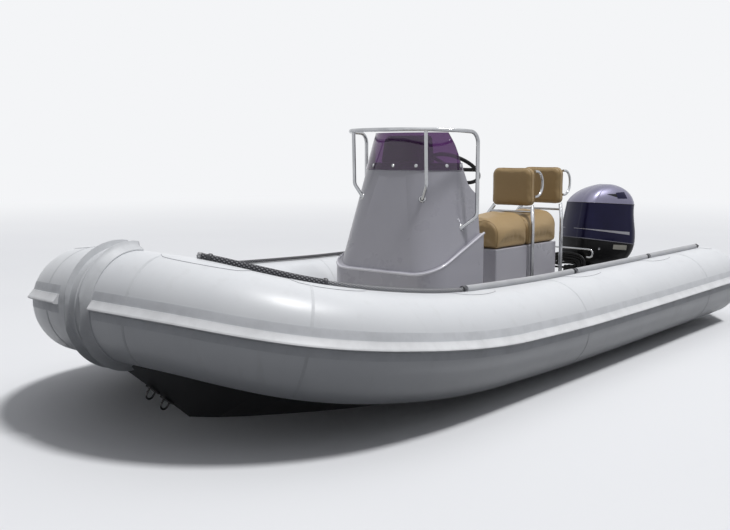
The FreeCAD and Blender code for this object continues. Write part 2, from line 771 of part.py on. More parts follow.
def make_helm(console):
    """Bezel and shaft stub on the dash, and the wheel that turns on it."""
    centre = vec(WHEEL_CENTRE)
    axis = wheel_direction()
    hub_back = centre - axis * WHEEL_HUB_BACK
    bezel_start = hub_back - axis * HELM_REACH
    bezel = Part.makeCone(HELM_BEZEL_R, HELM_NECK_R, HELM_REACH - HELM_GAP, bezel_start, axis)
    shaft = Part.makeCylinder(HELM_SHAFT_R, HELM_GAP + HELM_SHAFT_L, hub_back - axis * HELM_GAP, axis)
    helm = bezel.fuse(shaft).cut(console)
    hub = Part.makeCylinder(WHEEL_HUB_R, WHEEL_HUB_T, hub_back, axis)
    rim = Part.makeTorus(WHEEL_R, WHEEL_RIM_R, centre + axis * WHEEL_RIM_RISE, axis)
    turn = FreeCAD.Rotation(V(0, 0, 1), axis)
    spokes = []
    for i in range(WHEEL_SPOKES):
        bar = Part.makeBox(WHEEL_R, SPOKE_W, SPOKE_T, V(0, -SPOKE_W / 2, -SPOKE_T / 2))
        bar.rotate(V(0, 0, 0), V(0, 0, 1), 90.0 + 360.0 / WHEEL_SPOKES * i)
        bar.Placement = FreeCAD.Placement(centre + axis * SPOKE_RISE, turn).multiply(bar.Placement)
        spokes.append(bar)
    wheel = hub.fuse(spokes + [rim])
    bore = Part.makeCylinder(HELM_SHAFT_R + SHAFT_GAP, HELM_SHAFT_L + 1.0, hub_back - axis * 0.5, axis)
    return {"helm_unit": helm, "steering_wheel": wheel.cut(bore)}


def make_throttle(console):
    """Control box with a lever and a cross grip."""
    body = box(*THROTTLE_X, THROTTLE_Y - THROTTLE_HALF_W, THROTTLE_Y + THROTTLE_HALF_W, *THROTTLE_Z)
    body = body.makeFillet(THROTTLE_EDGE_R, [e for e in body.Edges if e.BoundBox.ZMin > THROTTLE_Z[1] - 1.0])
    foot = V(LEVER_FOOT[0], THROTTLE_Y, LEVER_FOOT[1])
    lean = V(LEVER_LEAN, 0, 1)
    lean.normalize()
    lever = Part.makeCylinder(LEVER_R, LEVER_L, foot, lean)
    grip = Part.makeCylinder(GRIP_R, 2.0 * GRIP_HALF_L,
                             foot + lean * LEVER_L - V(0, GRIP_HALF_L, 0), V(0, 1, 0))
    return body.fuse([lever, grip]).cut(console)


def upright_edges(shape):
    return [e for e in shape.Edges if abs(e.tangentAt(e.FirstParameter).z) > 0.9]


def make_pod(front_x):
    half = SEAT_HALF_W - POD_INSET
    pod = box(front_x - SEAT_L, front_x, -half, half, SOLE_Z + SEAT_GAP, POD_TOP_Z)
    return pod.makeFillet(POD_CORNER_R, upright_edges(pod))


def make_cushion(front_x):
    """Saddle cushion: it rises to the back, with large shoulders along both sides."""
    aft_x = front_x - SEAT_L
    z0 = POD_TOP_Z + SEAT_GAP
    side = [(aft_x, z0), (front_x, z0), (front_x, z0 + CUSHION_H[0]), (aft_x, z0 + CUSHION_H[1])]
    block = face([V(x, -SEAT_HALF_W, z) for x, z in side]).extrude(V(0, 2.0 * SEAT_HALF_W, 0))
    shoulders = [e for e in block.Edges if e.BoundBox.ZMin > z0 + 1.0 and e.BoundBox.XLength > 1.0]
    block = block.makeFillet(CUSHION_TOP_R, shoulders)
    return block.makeFillet(CUSHION_EDGE_R, [e for e in block.Edges if e.BoundBox.XLength < 1.0])


def pad_block(pad_x, grow=0.0):
    """Backrest pad from its front face back, with rounder corners at its top; grown to clear a neighbour."""
    half = BACK_PAD_HALF_W + grow
    bottom, top_z = BACK_PAD_Z[0] - grow, BACK_PAD_Z[1] + grow
    pad = box(pad_x - BACK_PAD_T - grow, pad_x + grow, -half, half, bottom, top_z)
    corners = [e for e in pad.Edges if e.BoundBox.XLength > 1.0]
    pad = pad.makeFillet(PAD_LOW_R + grow, [e for e in corners if e.BoundBox.ZMin < bottom + 1.0])
    corners = [e for e in pad.Edges if e.BoundBox.ZMin > top_z - 1.0 and e.BoundBox.YLength < 1.0]
    pad = pad.makeFillet(PAD_HIGH_R + grow, corners)
    return pad.makeFillet(PAD_FACE_R + grow, [e for e in pad.Edges if e.BoundBox.XMin > pad_x + grow - 1.0])


def make_backrest(front_x):
    """Frame, hand loop and pad: two legs into the pad's underside with a bar between them."""
    leg_x = front_x + BACK_LEG_X
    pad_x = front_x + BACK_PAD_X
    bottom = BACK_PAD_Z[0]
    pad = pad_block(pad_x)
    back_x = pad_x - BACK_PAD_T - SEAT_GAP
    top = V(pad_x - BACK_PAD_T / 2.0, BACK_TOP_Y, bottom + BACK_TUBE_R)
    leg = pipe(bent_path([
        (leg_x, BACK_LEG_Y, SOLE_Z + SEAT_GAP, 0.0),
        (leg_x, BACK_LEG_Y, BACK_KNEE_Z, BACK_KNEE_R),
        (top.x, top.y, top.z, 0.0),
    ]), BACK_TUBE_R)
    loop = pipe(bent_path([
        (back_x, LOOP_Y, LOOP_Z[1], 0.0),
        (back_x - LOOP_REACH, LOOP_Y, LOOP_Z[1], LOOP_BEND_R),
        (back_x - LOOP_REACH, LOOP_Y, LOOP_Z[0], LOOP_BEND_R),
        (back_x, LOOP_Y, LOOP_Z[0], 0.0),
    ]), LOOP_TUBE_R)
    knee = V(leg_x, BACK_LEG_Y, BACK_KNEE_Z)
    at_bar = knee + (top - knee) * ((BACK_BAR_Z - knee.z) / (top.z - knee.z))
    bar = Part.makeCylinder(BACK_BAR_R, 2.0 * at_bar.y, V(at_bar.x, -at_bar.y, at_bar.z), V(0, 1, 0))
    legs = leg.fuse([mirror(leg), bar]).cut(pad_block(pad_x, SEAT_GAP))
    return legs, loop, pad


def place_motor(shape):
    """Turn a piece from straight ahead and level to the motor's resting steer and trim."""
    done = shape.copy()
    done.rotate(V(STEER_X, 0, 0), V(0, 0, 1), STEER_REST)
    return trim(done)


def trim(shape):
    done = shape.copy()
    done.rotate(V(TILT_AXIS[0], 0, TILT_AXIS[1]), V(0, 1, 0), TRIM_REST)
    return done


def cowl_section(z, front_inset, aft_inset, side_inset, nose_r, tail_r):
    """Plan outline of the cowl: rounded front and back joined by gently bowed sides."""
    front = COWL_FRONT_X - front_inset
    aft = COWL_FRONT_X - COWL_L + aft_inset
    half_w = COWL_HALF_W - side_inset
    mid_x = (front + aft) / 2.0
    kn = nose_r * (1.0 - math.sqrt(0.5))
    kt = tail_r * (1.0 - math.sqrt(0.5))
    w = half_w - COWL_SIDE_BOW
    e = [
        Part.Arc(V(front - nose_r, -w, z), V(front - kn, -w + kn, z), V(front, -w + nose_r, z)),
        Part.Arc(V(front, -w + nose_r, z), V(front + COWL_FRONT_BOW, 0, z), V(front, w - nose_r, z)),
        Part.Arc(V(front, w - nose_r, z), V(front - kn, w - kn, z), V(front - nose_r, w, z)),
        Part.Arc(V(front - nose_r, w, z), V(mid_x, half_w, z), V(aft + tail_r, w, z)),
        Part.Arc(V(aft + tail_r, w, z), V(aft + kt, w - kt, z), V(aft, w - tail_r, z)),
        Part.Arc(V(aft, w - tail_r, z), V(aft - COWL_TAIL_BOW, 0, z), V(aft, -w + tail_r, z)),
        Part.Arc(V(aft, -w + tail_r, z), V(aft + kt, -w + kt, z), V(aft + tail_r, -w, z)),
        Part.Arc(V(aft + tail_r, -w, z), V(mid_x, -half_w, z), V(front - nose_r, -w, z)),
    ]
    return Part.Wire([x.toShape() for x in e])


def seam_space(shift):
    """Everything above the sloping seam between the lower and the upper cowl."""
    front, aft = COWL_FRONT_X + COWL_HALF_W, COWL_FRONT_X - COWL_L - COWL_HALF_W
    slope = (COWL_SEAM_Z[0] - COWL_SEAM_Z[1]) / COWL_L
    points = [(x, COWL_SEAM_Z[0] + slope * (x - COWL_FRONT_X) + shift) for x in (front, aft)]
    points += [(aft, 2.0 * COWL_CAP_Z), (front, 2.0 * COWL_CAP_Z)]
    space = face([V(x, -COWL_L, z) for x, z in points])
    return space.extrude(V(0, 2.0 * COWL_L, 0))


def make_cowls():
    """Lower and upper cowl from one body parted along the seam, the cap, and the block inside."""
    body = Part.makeLoft([cowl_section(*row) for row in COWL_ROWS], True, False)
    cap = Part.makeLoft([cowl_section(*row) for row in CAP_ROWS], True, False)
    block = box(COWL_FRONT_X - POWERHEAD_X[1], COWL_FRONT_X - POWERHEAD_X[0],
                -POWERHEAD_HALF_W, POWERHEAD_HALF_W, *POWERHEAD_Z)
    return {
        "motor_lower_cowl": body.cut(seam_space(-SEAT_GAP)).cut(block),
        "motor_upper_cowl": body.common(seam_space(0.0)).cut(block),
        "motor_cowl_cap": cap,
        "motor_powerhead": block,
    }


def make_leg():
    """Leg with its upper mount and lower yoke, and the steering shaft that joins them."""
    top_z = COWL_BASE_Z - SEAT_GAP
    front = STEER_X - SWIVEL_R - RUN_GAP
    leg = box(front - LEG_L, front, -LEG_HALF_W, LEG_HALF_W, PLATE_Z + PLATE_T + SEAT_GAP, top_z)
    leg = leg.makeFillet(LEG_CORNER_R, upright_edges(leg))
    yoke_top = SWIVEL_Z[0] - RUN_GAP
    yoke = box(front - YOKE_SINK, STEER_X + YOKE_FRONT, -YOKE_HALF_W, YOKE_HALF_W,
               yoke_top - YOKE_T, yoke_top)
    mount_base = SWIVEL_Z[1] + RUN_GAP
    mount = box(front - LEG_L, STEER_X + MOUNT_FRONT, -MOUNT_HALF_W, MOUNT_HALF_W, mount_base, top_z)
    pin = Part.makeCylinder(STEER_SHAFT_R, mount_base - yoke_top + 2.0, V(STEER_X, 0, yoke_top - 1.0))
    return leg.fuse([yoke, mount, pin])


def make_gearcase():
    """Anti-ventilation plate, torpedo, strut with its skeg, and the propeller's shaft."""
    plate = box(STEER_X + PLATE_X[0], STEER_X + PLATE_X[1], -PLATE_HALF_W, PLATE_HALF_W,
                PLATE_Z, PLATE_Z + PLATE_T)
    plate = plate.makeFillet(PLATE_CORNER_R, upright_edges(plate))
    back = STEER_X + TORPEDO_BACK
    ahead = V(1, 0, 0)
    torpedo = Part.makeCylinder(GEARCASE_R, TORPEDO_L, V(back, 0, PROP_Z), ahead)
    nose = Part.makeCone(GEARCASE_R, NOSE_R, NOSE_L, V(back + TORPEDO_L, 0, PROP_Z), ahead)
    wires = []
    for z, front, aft, half in STRUT_ROWS:
        middle = (front + aft) / 2.0
        points = [(front, 0.0), (middle, half), (aft, 0.0), (middle, -half), (front, 0.0)]
        wires.append(Part.makePolygon([V(STEER_X + x, y, z) for x, y in points]))
    strut = Part.makeLoft(wires, True, True)
    shaft = Part.makeCylinder(PROP_SHAFT_R, PROP_SHAFT_L + 5.0, V(back - PROP_SHAFT_L, 0, PROP_Z), ahead)
    return plate.fuse([torpedo, nose, strut, shaft])


def make_propeller():
    back = STEER_X + TORPEDO_BACK
    hub_x = back - RUN_GAP - PROP_HUB_L
    ahead = V(1, 0, 0)
    hub = Part.makeCone(PROP_HUB_R - PROP_HUB_TAPER, PROP_HUB_R, PROP_HUB_L, V(hub_x, 0, PROP_Z), ahead)
    blades = []
    for i in range(PROP_BLADES):
        wires = []
        for radius, x0, y0, x1, y1, thick in BLADE_ROWS:
            a, b = V(hub_x + x0, y0, radius), V(hub_x + x1, y1, radius)
            lean = V(-thick, thick, 0)
            wires.append(Part.makePolygon([a, b, b + lean, a + lean, a]))
        blade = Part.makeLoft(wires, True, True)
        blade.rotate(V(0, 0, 0), ahead, 360.0 / PROP_BLADES * i)
        blade.translate(V(0, 0, PROP_Z))
        blades.append(blade)
    bore = Part.makeCylinder(PROP_SHAFT_R + SHAFT_GAP, PROP_SHAFT_L + 20.0,
                             V(back - PROP_SHAFT_L - 1.0, 0, PROP_Z), ahead)
    return hub.fuse(blades).cut(bore)


def make_brackets():
    """Clamp bracket on the transom and swivel bracket that tilts on it."""
    aft_face = TRANSOM_X - SEAT_GAP - TRANSOM_T - SEAT_GAP
    tx, tz = TILT_AXIS
    y_in, y_out = CLAMP_Y
    seat_z = TRANSOM_TOP_Z + SEAT_GAP
    cheek = face([
        V(aft_face, y_in, CLAMP_FOOT_Z),
        V(aft_face, y_in, seat_z),
        V(tx + CLAMP_FRONT, y_in, seat_z),
        V(tx + CLAMP_FRONT - 4.0, y_in, tz + CLAMP_RISE),
        V(aft_face - CLAMP_LEAN, y_in, tz + CLAMP_RISE),
        V(aft_face - CLAMP_FOOT_REACH, y_in, CLAMP_FOOT_Z),
    ]).extrude(V(0, y_out - y_in, 0))
    rod = Part.makeCylinder(TILT_ROD_R, 2.0 * y_out, V(tx, -y_out, tz), V(0, 1, 0))
    clamp = cheek.fuse([mirror(cheek), rod])
    half = SWIVEL_HALF_W
    height = SWIVEL_Z[1] - SWIVEL_Z[0]
    column = Part.makeCylinder(SWIVEL_R, height, V(STEER_X, 0, SWIVEL_Z[0]))
    head = box(STEER_X, tx, -half, half, SWIVEL_Z[1] - SWIVEL_HEAD_T, SWIVEL_Z[1])
    lug = Part.makeCylinder(SWIVEL_LUG_R, 2.0 * half, V(tx, -half, tz), V(0, 1, 0))
    swivel = column.fuse([head, lug])
    swivel = swivel.cut(Part.makeCylinder(TILT_ROD_R + SHAFT_GAP, 4.0 * half,
                                          V(tx, -2.0 * half, tz), V(0, 1, 0)))
    bore = Part.makeCylinder(STEER_SHAFT_R + SHAFT_GAP, 3.0 * height, V(STEER_X, 0, SWIVEL_Z[0] - height))
    return {"motor_clamp_bracket": clamp, "motor_swivel_bracket": trim(swivel.cut(bore))}


def make_steering_cylinder():
    """Hydraulic cylinder across the front of the swivel bracket's lug, held by two arms."""
    tx, tz = TILT_AXIS
    x, z = tx + RAM_X, tz + RAM_RISE
    across = V(0, 1, 0)
    body = Part.makeCylinder(RAM_BODY_R, 2.0 * RAM_BODY_HALF_L, V(x, -RAM_BODY_HALF_L, z), across)
    rod = Part.makeCylinder(RAM_ROD_R, 2.0 * RAM_ROD_HALF_L, V(x, -RAM_ROD_HALF_L, z), across)
    arms = [box(tx, x, y, y + RAM_ARM_T, tz + RAM_ARM_Z[0], tz + RAM_ARM_Z[1]) for y in RAM_ARM_Y]
    lug = Part.makeCylinder(SWIVEL_LUG_R + SEAT_GAP, 4.0 * SWIVEL_HALF_W,
                            V(tx, -2.0 * SWIVEL_HALF_W, tz), across)
    return trim(body.fuse([rod] + arms).cut(lug))


def u_bolt(seat, out, along):
    """U-bolt on a pad; the pad is sunk a little so that it can be cut to its seat."""
    legs = EYE_GAP / 2.0
    rows = [
        seat - along * legs - out * EYE_SINK,
        seat - along * legs + out * EYE_REACH,
        seat + along * legs + out * EYE_REACH,
        seat + along * legs - out * EYE_SINK,
    ]
    bends = (0.0, legs * 0.98, legs * 0.98, 0.0)
    loop = pipe(bent_path([(p.x, p.y, p.z, bend) for p, bend in zip(rows, bends)]), EYE_BAR_R)
    turn = FreeCAD.Rotation(along, out.cross(along), out, "XZY")
    pad = Part.makeBox(EYE_PAD_L, EYE_PAD_W, EYE_PAD_T + EYE_SINK,
                       V(-EYE_PAD_L / 2.0, -EYE_PAD_W / 2.0, -EYE_SINK))
    pad.Placement = FreeCAD.Placement(seat, turn)
    return loop.fuse(pad)


def make_eyes(hull, transom):
    """Two U-bolt eyes on the stem, and one on each side of the transom."""
    stem_low, stem_high = [V(row[0], 0, row[1]) for row in HULL_SECTIONS[6:8]]
    up_stem = stem_high - stem_low
    up_stem.normalize()
    out = V(up_stem.z, 0, -up_stem.x)
    bow = []
    for z in BOW_EYE_Z:
        share = (z - stem_low.z) / (stem_high.z - stem_low.z)
        seat = stem_low + (stem_high - stem_low) * share
        bow.append(u_bolt(seat, out, up_stem).cut(hull))
    stern = []
    for y in (-STERN_EYE_Y, STERN_EYE_Y):
        seat = V(TRANSOM_X - SEAT_GAP - TRANSOM_T, y, STERN_EYE_Z)
        stern.append(u_bolt(seat, V(-1, 0, 0), V(0, 0, 1)).cut(transom))
    return bow, stern


def build():
    nodes = {}
    nodes.update(make_tubes())
    nodes.update(make_hull_and_liner())
    nodes["transom"] = make_transom()
    nodes["bow_band"] = make_bow_band().cut(nodes["hull"])
    strake = make_strake()
    nodes["strake_port"] = strake
    nodes["strake_starboard"] = mirror(strake)
    line_path = lifeline_path()
    line = make_lifeline(line_path)
    fittings = make_fittings(line_path.Edges, tube_solid(TUBE_R + SEAT_GAP))
    nodes["lifeline_port"] = line
    nodes["lifeline_starboard"] = mirror(line)
    nodes["lifeline_fittings"] = Part.makeCompound(fittings + [mirror(s) for s in fittings])
    nodes.update(make_console())
    nodes["windscreen"] = make_windscreen()
    nodes["instrument_hood"] = make_hood()
    nodes["console_rail"] = make_rail(nodes["console_upper"])
    nodes.update(make_helm(nodes["console_upper"]))
    nodes["throttle_control"] = make_throttle(nodes["console_upper"])
    for name, front_x in SEATS:
        nodes["seat_pod_" + name] = make_pod(front_x)
        nodes["seat_cushion_" + name] = make_cushion(front_x)
        frame, loop, pad = make_backrest(front_x)
        nodes["backrest_frame_" + name] = frame
        nodes["hand_loop_port_" + name] = loop
        nodes["hand_loop_starboard_" + name] = mirror(loop)
        nodes["backrest_pad_" + name] = pad
    motor = make_cowls()
    motor["motor_leg"] = make_leg()
    motor["motor_gearcase"] = make_gearcase()
    motor["propeller"] = make_propeller()
    for name, shape in motor.items():
        nodes[name] = place_motor(shape)
    nodes.update(make_brackets())
    nodes["steering_cylinder"] = make_steering_cylinder()
    bow, stern = make_eyes(nodes["hull"], nodes["transom"])
    nodes["bow_eyes"] = Part.makeCompound(bow)
    nodes["stern_eyes"] = Part.makeCompound(stern)
    return nodes


def main():
    os.makedirs(OUT, exist_ok=True)
    for name, shape in build().items():
        valid = "" if shape.isValid() else " NOT VALID"
        print(name, len(shape.Solids), round(shape.Volume / 1e6, 3), valid)
        shape.exportStep(OUT + "/" + name + ".step")


main()
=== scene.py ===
"""Looks of a rigid inflatable boat with a centre console, two jockey seats and an outboard motor."""

import math

import bmesh
import bpy
from mathutils import Matrix, Vector
from mathutils.bvhtree import BVHTree


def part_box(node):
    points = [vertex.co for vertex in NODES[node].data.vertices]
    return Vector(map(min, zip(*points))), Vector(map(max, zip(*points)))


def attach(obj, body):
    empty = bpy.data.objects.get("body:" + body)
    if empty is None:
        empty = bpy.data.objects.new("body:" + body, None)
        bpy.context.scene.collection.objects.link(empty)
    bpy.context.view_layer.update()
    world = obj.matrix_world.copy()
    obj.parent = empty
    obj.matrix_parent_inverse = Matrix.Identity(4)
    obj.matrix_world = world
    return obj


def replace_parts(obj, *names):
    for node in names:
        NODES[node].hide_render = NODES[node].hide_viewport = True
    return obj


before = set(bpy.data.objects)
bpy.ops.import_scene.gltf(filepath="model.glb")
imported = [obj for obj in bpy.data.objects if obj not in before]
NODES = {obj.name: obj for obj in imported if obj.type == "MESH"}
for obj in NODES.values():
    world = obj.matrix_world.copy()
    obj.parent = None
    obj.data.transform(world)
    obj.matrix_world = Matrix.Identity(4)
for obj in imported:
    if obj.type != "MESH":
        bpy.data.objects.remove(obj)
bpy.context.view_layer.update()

bl_info = {
    "name": "Rigid inflatable boat",
    "version": (1, 0, 0),
    "blender": (4, 5, 0),
    "location": "3D View > Sidebar > Boat",
    "description": "Finishes the boat's tube, hull, console, seats and motor",
    "category": "Object",
}

# Buoyancy tube, from the centreline at the bow round the port side to the stern, in metres.
TUBE_R = 0.278
# Columns: x, y, z, heading in plan, pitch, both in degrees
TUBE_NODES = [
    (2.532, 0.0, 0.656, 90.0, 0.0),
    (2.526, 0.120, 0.655, 95.0, -1.5),
    (2.406, 0.531, 0.612, 120.0, -11.5),
    (2.059, 0.876, 0.506, 150.5, -10.5),
    (1.484, 1.020, 0.412, 176.0, -7.5),
    (0.850, 1.030, 0.356, 180.0, -2.0),
    (-0.050, 1.030, 0.333, 180.0, -0.5),
    (-2.550, 1.030, 0.328, 180.0, 0.0),
]
# Tapered end. Columns: distance aft of the last node, radius
CONE_ROWS = [(0.006, 0.2775), (0.03, 0.263), (0.08, 0.230), (0.15, 0.180), (0.228, 0.122), (0.262, 0.101),
             (0.285, 0.077), (0.30, 0.042)]
# Height of the seat cushions' front over that of their back
CUSHION_FRONT_SHARE = 215.0 / 252.0
PATH_STEP = 0.035
RING_SIDES = 80

# Most that the bow guard stands out ahead of the tube
BAND_LIP_T = 0.0245

# Places round the tube, in degrees up from its outboard side
STRAKE_LOW, STRAKE_HIGH = 4.9, 14.6
ROPE_AROUND = 104.0
ROPE_R = 0.011
SLEEVE_R = 0.016
ROPE_FIRST_X = 2.390
STARBOARD_FIRST_X = 2.240
HOSE_R = 0.0205
# From the middle of a ring to the end of the hose beside it
SLEEVE_END = 0.028
# Closed section of a ring round the line. Columns: radius, distance along the line
RING_PROFILE = [(0.0165, -0.009), (0.0195, -0.0085), (0.0215, -0.004), (0.0215, 0.004), (0.0195, 0.0085),
                (0.0165, 0.009), (0.0165, -0.009)]
FITTING_X = (2.368, 1.980, 0.979, -0.329, -1.504, -2.500)

# Places of the tape round the tube, where its panels of fabric meet
SEAM_X = (2.505, 2.150, 0.120, -1.900)
SEAM_HALF_W, SEAM_HALF_L, SEAM_T = 0.006, TUBE_R * 2.6, 0.0010
# Tapes above and below the strake: degrees from its edge to their middle, and thickness
TAPE_OFFSET, TAPE_T = 4.6, 0.0012
# Patches under the lifeline: degrees from the line down to their middle, thickness, and how round they are
PATCH_OFFSET, PATCH_T, PATCH_ROUNDNESS = 9.0, 0.0016, 0.75
# Line of glue that shows past a patch's edge
GLUE_EDGE, GLUE_T = 0.0022, 0.0010
# Between a skin and what is laid on it
SKIN_GAP = 0.0003

# Inflation valves, on the tube's inner face
VALVE_X = (1.150, -0.650, -1.750)
VALVE_AROUND = 168.0
# Columns: radius, height
VALVE_PROFILE = [(0.0, 0.007), (0.014, 0.007), (0.016, 0.004), (0.026, 0.004), (0.034, 0.003), (0.037, 0.0),
                 (0.037, -0.004), (0.0, -0.004)]

# Section of the guard at the bow. Columns: distance across from the centreline, height above the tube
GUARD_HALF = [(0.003, 0.0130), (0.006, 0.0085), (0.030, 0.0080), (0.038, 0.0110), (0.0440, 0.0300),
              (0.0455, 0.0338), (0.0485, 0.0338), (0.0510, 0.0300), (0.0600, 0.0170), (0.0860, 0.0060),
              (0.0895, 0.0010)]
GUARD_PROFILE = [(-y, h) for y, h in reversed(GUARD_HALF)] + GUARD_HALF
# The guard runs between these degrees round the tube
GUARD_FROM, GUARD_TO, GUARD_STEPS = 100.0, -100.0, 64
GUARD_WALL = 0.004

# Section of the rubbing strake: a long face that looks up, and a lip. Columns: degrees round, height above
STRAKE_PROFILE = [(4.3, -0.001), (4.5, 0.0175), (5.1, 0.0250), (5.9, 0.0278), (6.9, 0.0265), (8.0, 0.0225),
                  (13.4, 0.0062), (14.4, 0.0050), (14.6, -0.001)]
# Length from the bow at which the strake of each side starts
STRAKE_START = {1.0: 0.096, -1.0: 0.143}
# Between the rings of long pieces that follow the tube
RUN_STEP = 0.03

# Console
CONSOLE_FRONT_X = 0.550
CONSOLE_AFT_X = -0.025
CONSOLE_HALF_W = 0.435
CONSOLE_CORNER_R = 0.170
CONSOLE_CORNER_GROWTH = 0.144
CONSOLE_TAPER_Z = 0.600
CONSOLE_RAKE = 0.215
CONSOLE_SIDE_TAPER = 0.0935
CONSOLE_TOP_Z = 1.335
# Thickness of the windscreen's lap on the console, and its screws' distance under the console's top
LAP_T = 0.0053
SCREW_DROP = 0.017
# The screws stand across the front, at a turn round each corner in degrees, and on each side
SCREW_Y, SCREW_TURN, SCREW_SIDE_X = (-0.18, 0.0, 0.18), 60.0, 0.158
BEAD_R = 0.008
# Ends of the rail's port legs: a place on the leg, and one further down its line, inside the console
RAIL_LEGS = [((0.440, 0.304, 1.190), (0.412, 0.248, 1.095)), ((0.110, 0.475, 0.985), (0.215, 0.375, 0.880))]
RIDGE_FRONT_Z = 0.636
RIDGE_SLOPE = 0.40
RIDGE_STEP = 0.020
RIDGE_SIDE_STEP = 0.012
# The wheel's axis stands on the dash's lower slope
WHEEL_CENTRE = Vector((-0.094, 0.140, 1.279))
WHEEL_AXIS = Vector((-math.cos(math.radians(56.0)), 0.0, math.sin(math.radians(56.0))))

# Seats: a cover's start shape inside its CAD node, and the welts near its front and back
COVER_INSET = Vector((0.006, 0.006, 0.004))
WELT_INSET, WELT_R = 0.022, 0.0028

# Motor at rest: steered and trimmed about these
TILT_AXIS = Vector((-2.262, 0.0, 0.362))
STEER_X = -2.450
COWL_FRONT_X = STEER_X + 0.215
# Rise of the cowls' seam from front to back
SEAM_SLOPE = 0.045 / 0.600
STEER_REST = math.radians(-30.0)
TRIM_REST = math.radians(-4.0)

# The photo's camera, fitted from the horizon and the boat's waterline
CAMERA_PLACE = (5.217, 3.825, 1.42)
CAMERA_HEADING = (-0.7639, -0.6454)
CAMERA_PITCH = math.radians(7.11)
CAMERA_FOCAL, CAMERA_SENSOR = 45.47, 36.0

# Overcast daylight: a weak high sun, a soft box overhead and a pale sky
KEY_STRENGTH, KEY_SPREAD, KEY_WAY = 2.2, math.radians(10.0), (0.16, -0.34, -1.0)
BOX_SIZE, BOX_WATTS, BOX_PLACE = (7.0, 4.5), 60.0, (0.0, 0.6, 5.2)
SKY, SKY_STRENGTH, BACKDROP = "#f3f5fa", 0.28, "#f4f5f7"
FLOOR_R = 60.0


def turned_about(point, turn):
    """A turn made about a point."""
    return Matrix.Translation(point) @ turn @ Matrix.Translation(-point)


def motor_place():
    """Turns a piece drawn straight ahead and level to the motor's resting steer and trim."""
    steer = turned_about(Vector((STEER_X, 0.0, 0.0)), Matrix.Rotation(STEER_REST, 4, "Z"))
    return turned_about(TILT_AXIS, Matrix.Rotation(TRIM_REST, 4, "Y")) @ steer


# Path of the tube

def tangent(heading, pitch):
    """Direction of a heading in plan and a pitch, both in degrees."""
    h, p = math.radians(heading), math.radians(pitch)
    return Vector((math.cos(h) * math.cos(p), math.sin(h) * math.cos(p), math.sin(p)))


def arc_points(a, t, b, step):
    """Points and tangents from a, along direction t, round the arc that ends in b."""
    chord = b - a
    unit = chord.normalized()
    half = t.angle(unit)
    if half < 1e-5:
        count = max(1, round(chord.length / step))
        return [(a.lerp(b, i / count), unit) for i in range(1, count + 1)]
    radius = chord.length / (2.0 * math.sin(half))
    inward = (unit - t * unit.dot(t)).normalized()
    count = max(1, round(2.0 * half * radius / step))
    rows = []
    for i in range(1, count + 1):
        w = 2.0 * half * i / count
        rows.append((a + t * (radius * math.sin(w)) + inward * (radius * (1.0 - math.cos(w))),
                     t * math.cos(w) + inward * math.sin(w)))
    return rows


def tube_path():
    """Rows of point, tangent and length from the bow along two tangent arcs for each span."""
    stations = [(Vector((x, y, z)), tangent(h, p)) for x, y, z, h, p in TUBE_NODES]
    rows = [stations[0]]
    for (p0, t0), (p1, t1) in zip(stations, stations[1:]):
        v, t = p1 - p0, t0 + t1
        a, b, c = 2.0 * (1.0 - t0.dot(t1)), 2.0 * v.dot(t), -v.dot(v)
        d = -c / b if a < 1e-9 else (-b + math.sqrt(b * b - 4.0 * a * c)) / (2.0 * a)
        join = (p0 + t0 * d + p1 - t1 * d) * 0.5
        rows += arc_points(p0, t0, join, PATH_STEP)
        rows += arc_points(join, rows[-1][1], p1, PATH_STEP)
    along, path = 0.0, []
    for i, (p, t) in enumerate(rows):
        along += (p - rows[i - 1][0]).length if i else 0.0
        path.append((p, t, along))
    return path


PATH = tube_path()
TUBE_END = PATH[-1][2]


def tube_frame(along):
    """Point, outboard and up directions of the tube at a length from the bow; negative is to starboard."""
    s = min(abs(along), TUBE_END)
    low, high = 0, len(PATH) - 1
    while high - low > 1:
        middle = (low + high) // 2
        low, high = (middle, high) if PATH[middle][2] <= s else (low, middle)
    (p0, t0, s0), (p1, t1, s1) = PATH[low], PATH[high]
    share = (s - s0) / (s1 - s0)
    p, t = p0.lerp(p1, share), t0.lerp(t1, share).normalized()
    p = p + t * (abs(along) - s)
    out = Vector((t.y, -t.x, 0.0)).normalized()
    up = out.cross(t)
    if along < 0.0:
        p, out, up = Vector((p.x, -p.y, p.z)), Vector((out.x, -out.y, 0.0)), Vector((up.x, -up.y, up.z))
    return p, out, up


def tube_point(along, around, lift=0.0):
    """Point above the tube's skin; around is in degrees up from its outboard side."""
    p, out, up = tube_frame(along)
    a = math.radians(around)
    return p + (out * math.cos(a) + up * math.sin(a)) * (TUBE_R + lift)


def along_at_x(x):
    """Length from the bow at which the tube's path passes x."""
    for (p0, _, s0), (p1, _, s1) in zip(PATH, PATH[1:]):
        if p1.x <= x <= p0.x:
            return s0 + (s1 - s0) * (p0.x - x) / (p0.x - p1.x)
    return TUBE_END


def line_along_at_x(x):
    """Length from the bow at which the lifeline, which lies inboard of the tube's middle, passes x."""
    low, high = 0.0, TUBE_END
    for _ in range(40):
        middle = (low + high) / 2.0
        low, high = (middle, high) if tube_point(middle, ROPE_AROUND, SLEEVE_R).x > x else (low, middle)
    return low


# Mesh helpers

def new_bmesh():
    """Empty bmesh with the two lengths that patterns on swept pieces follow."""
    bm = bmesh.new()
    bm.verts.layers.float.new("along")
    bm.verts.layers.float.new("around")
    return bm


def finished(name, bm, material, body, smooth=40.0, doubles=1e-6):
    """Object from a bmesh with its faces outwards, riding on a body."""
    bmesh.ops.remove_doubles(bm, verts=bm.verts, dist=doubles)
    bmesh.ops.recalc_face_normals(bm, faces=bm.faces)
    mesh = bpy.data.meshes.new(name)
    bm.to_mesh(mesh)
    bm.free()
    return placed(name, mesh, material, body, smooth)


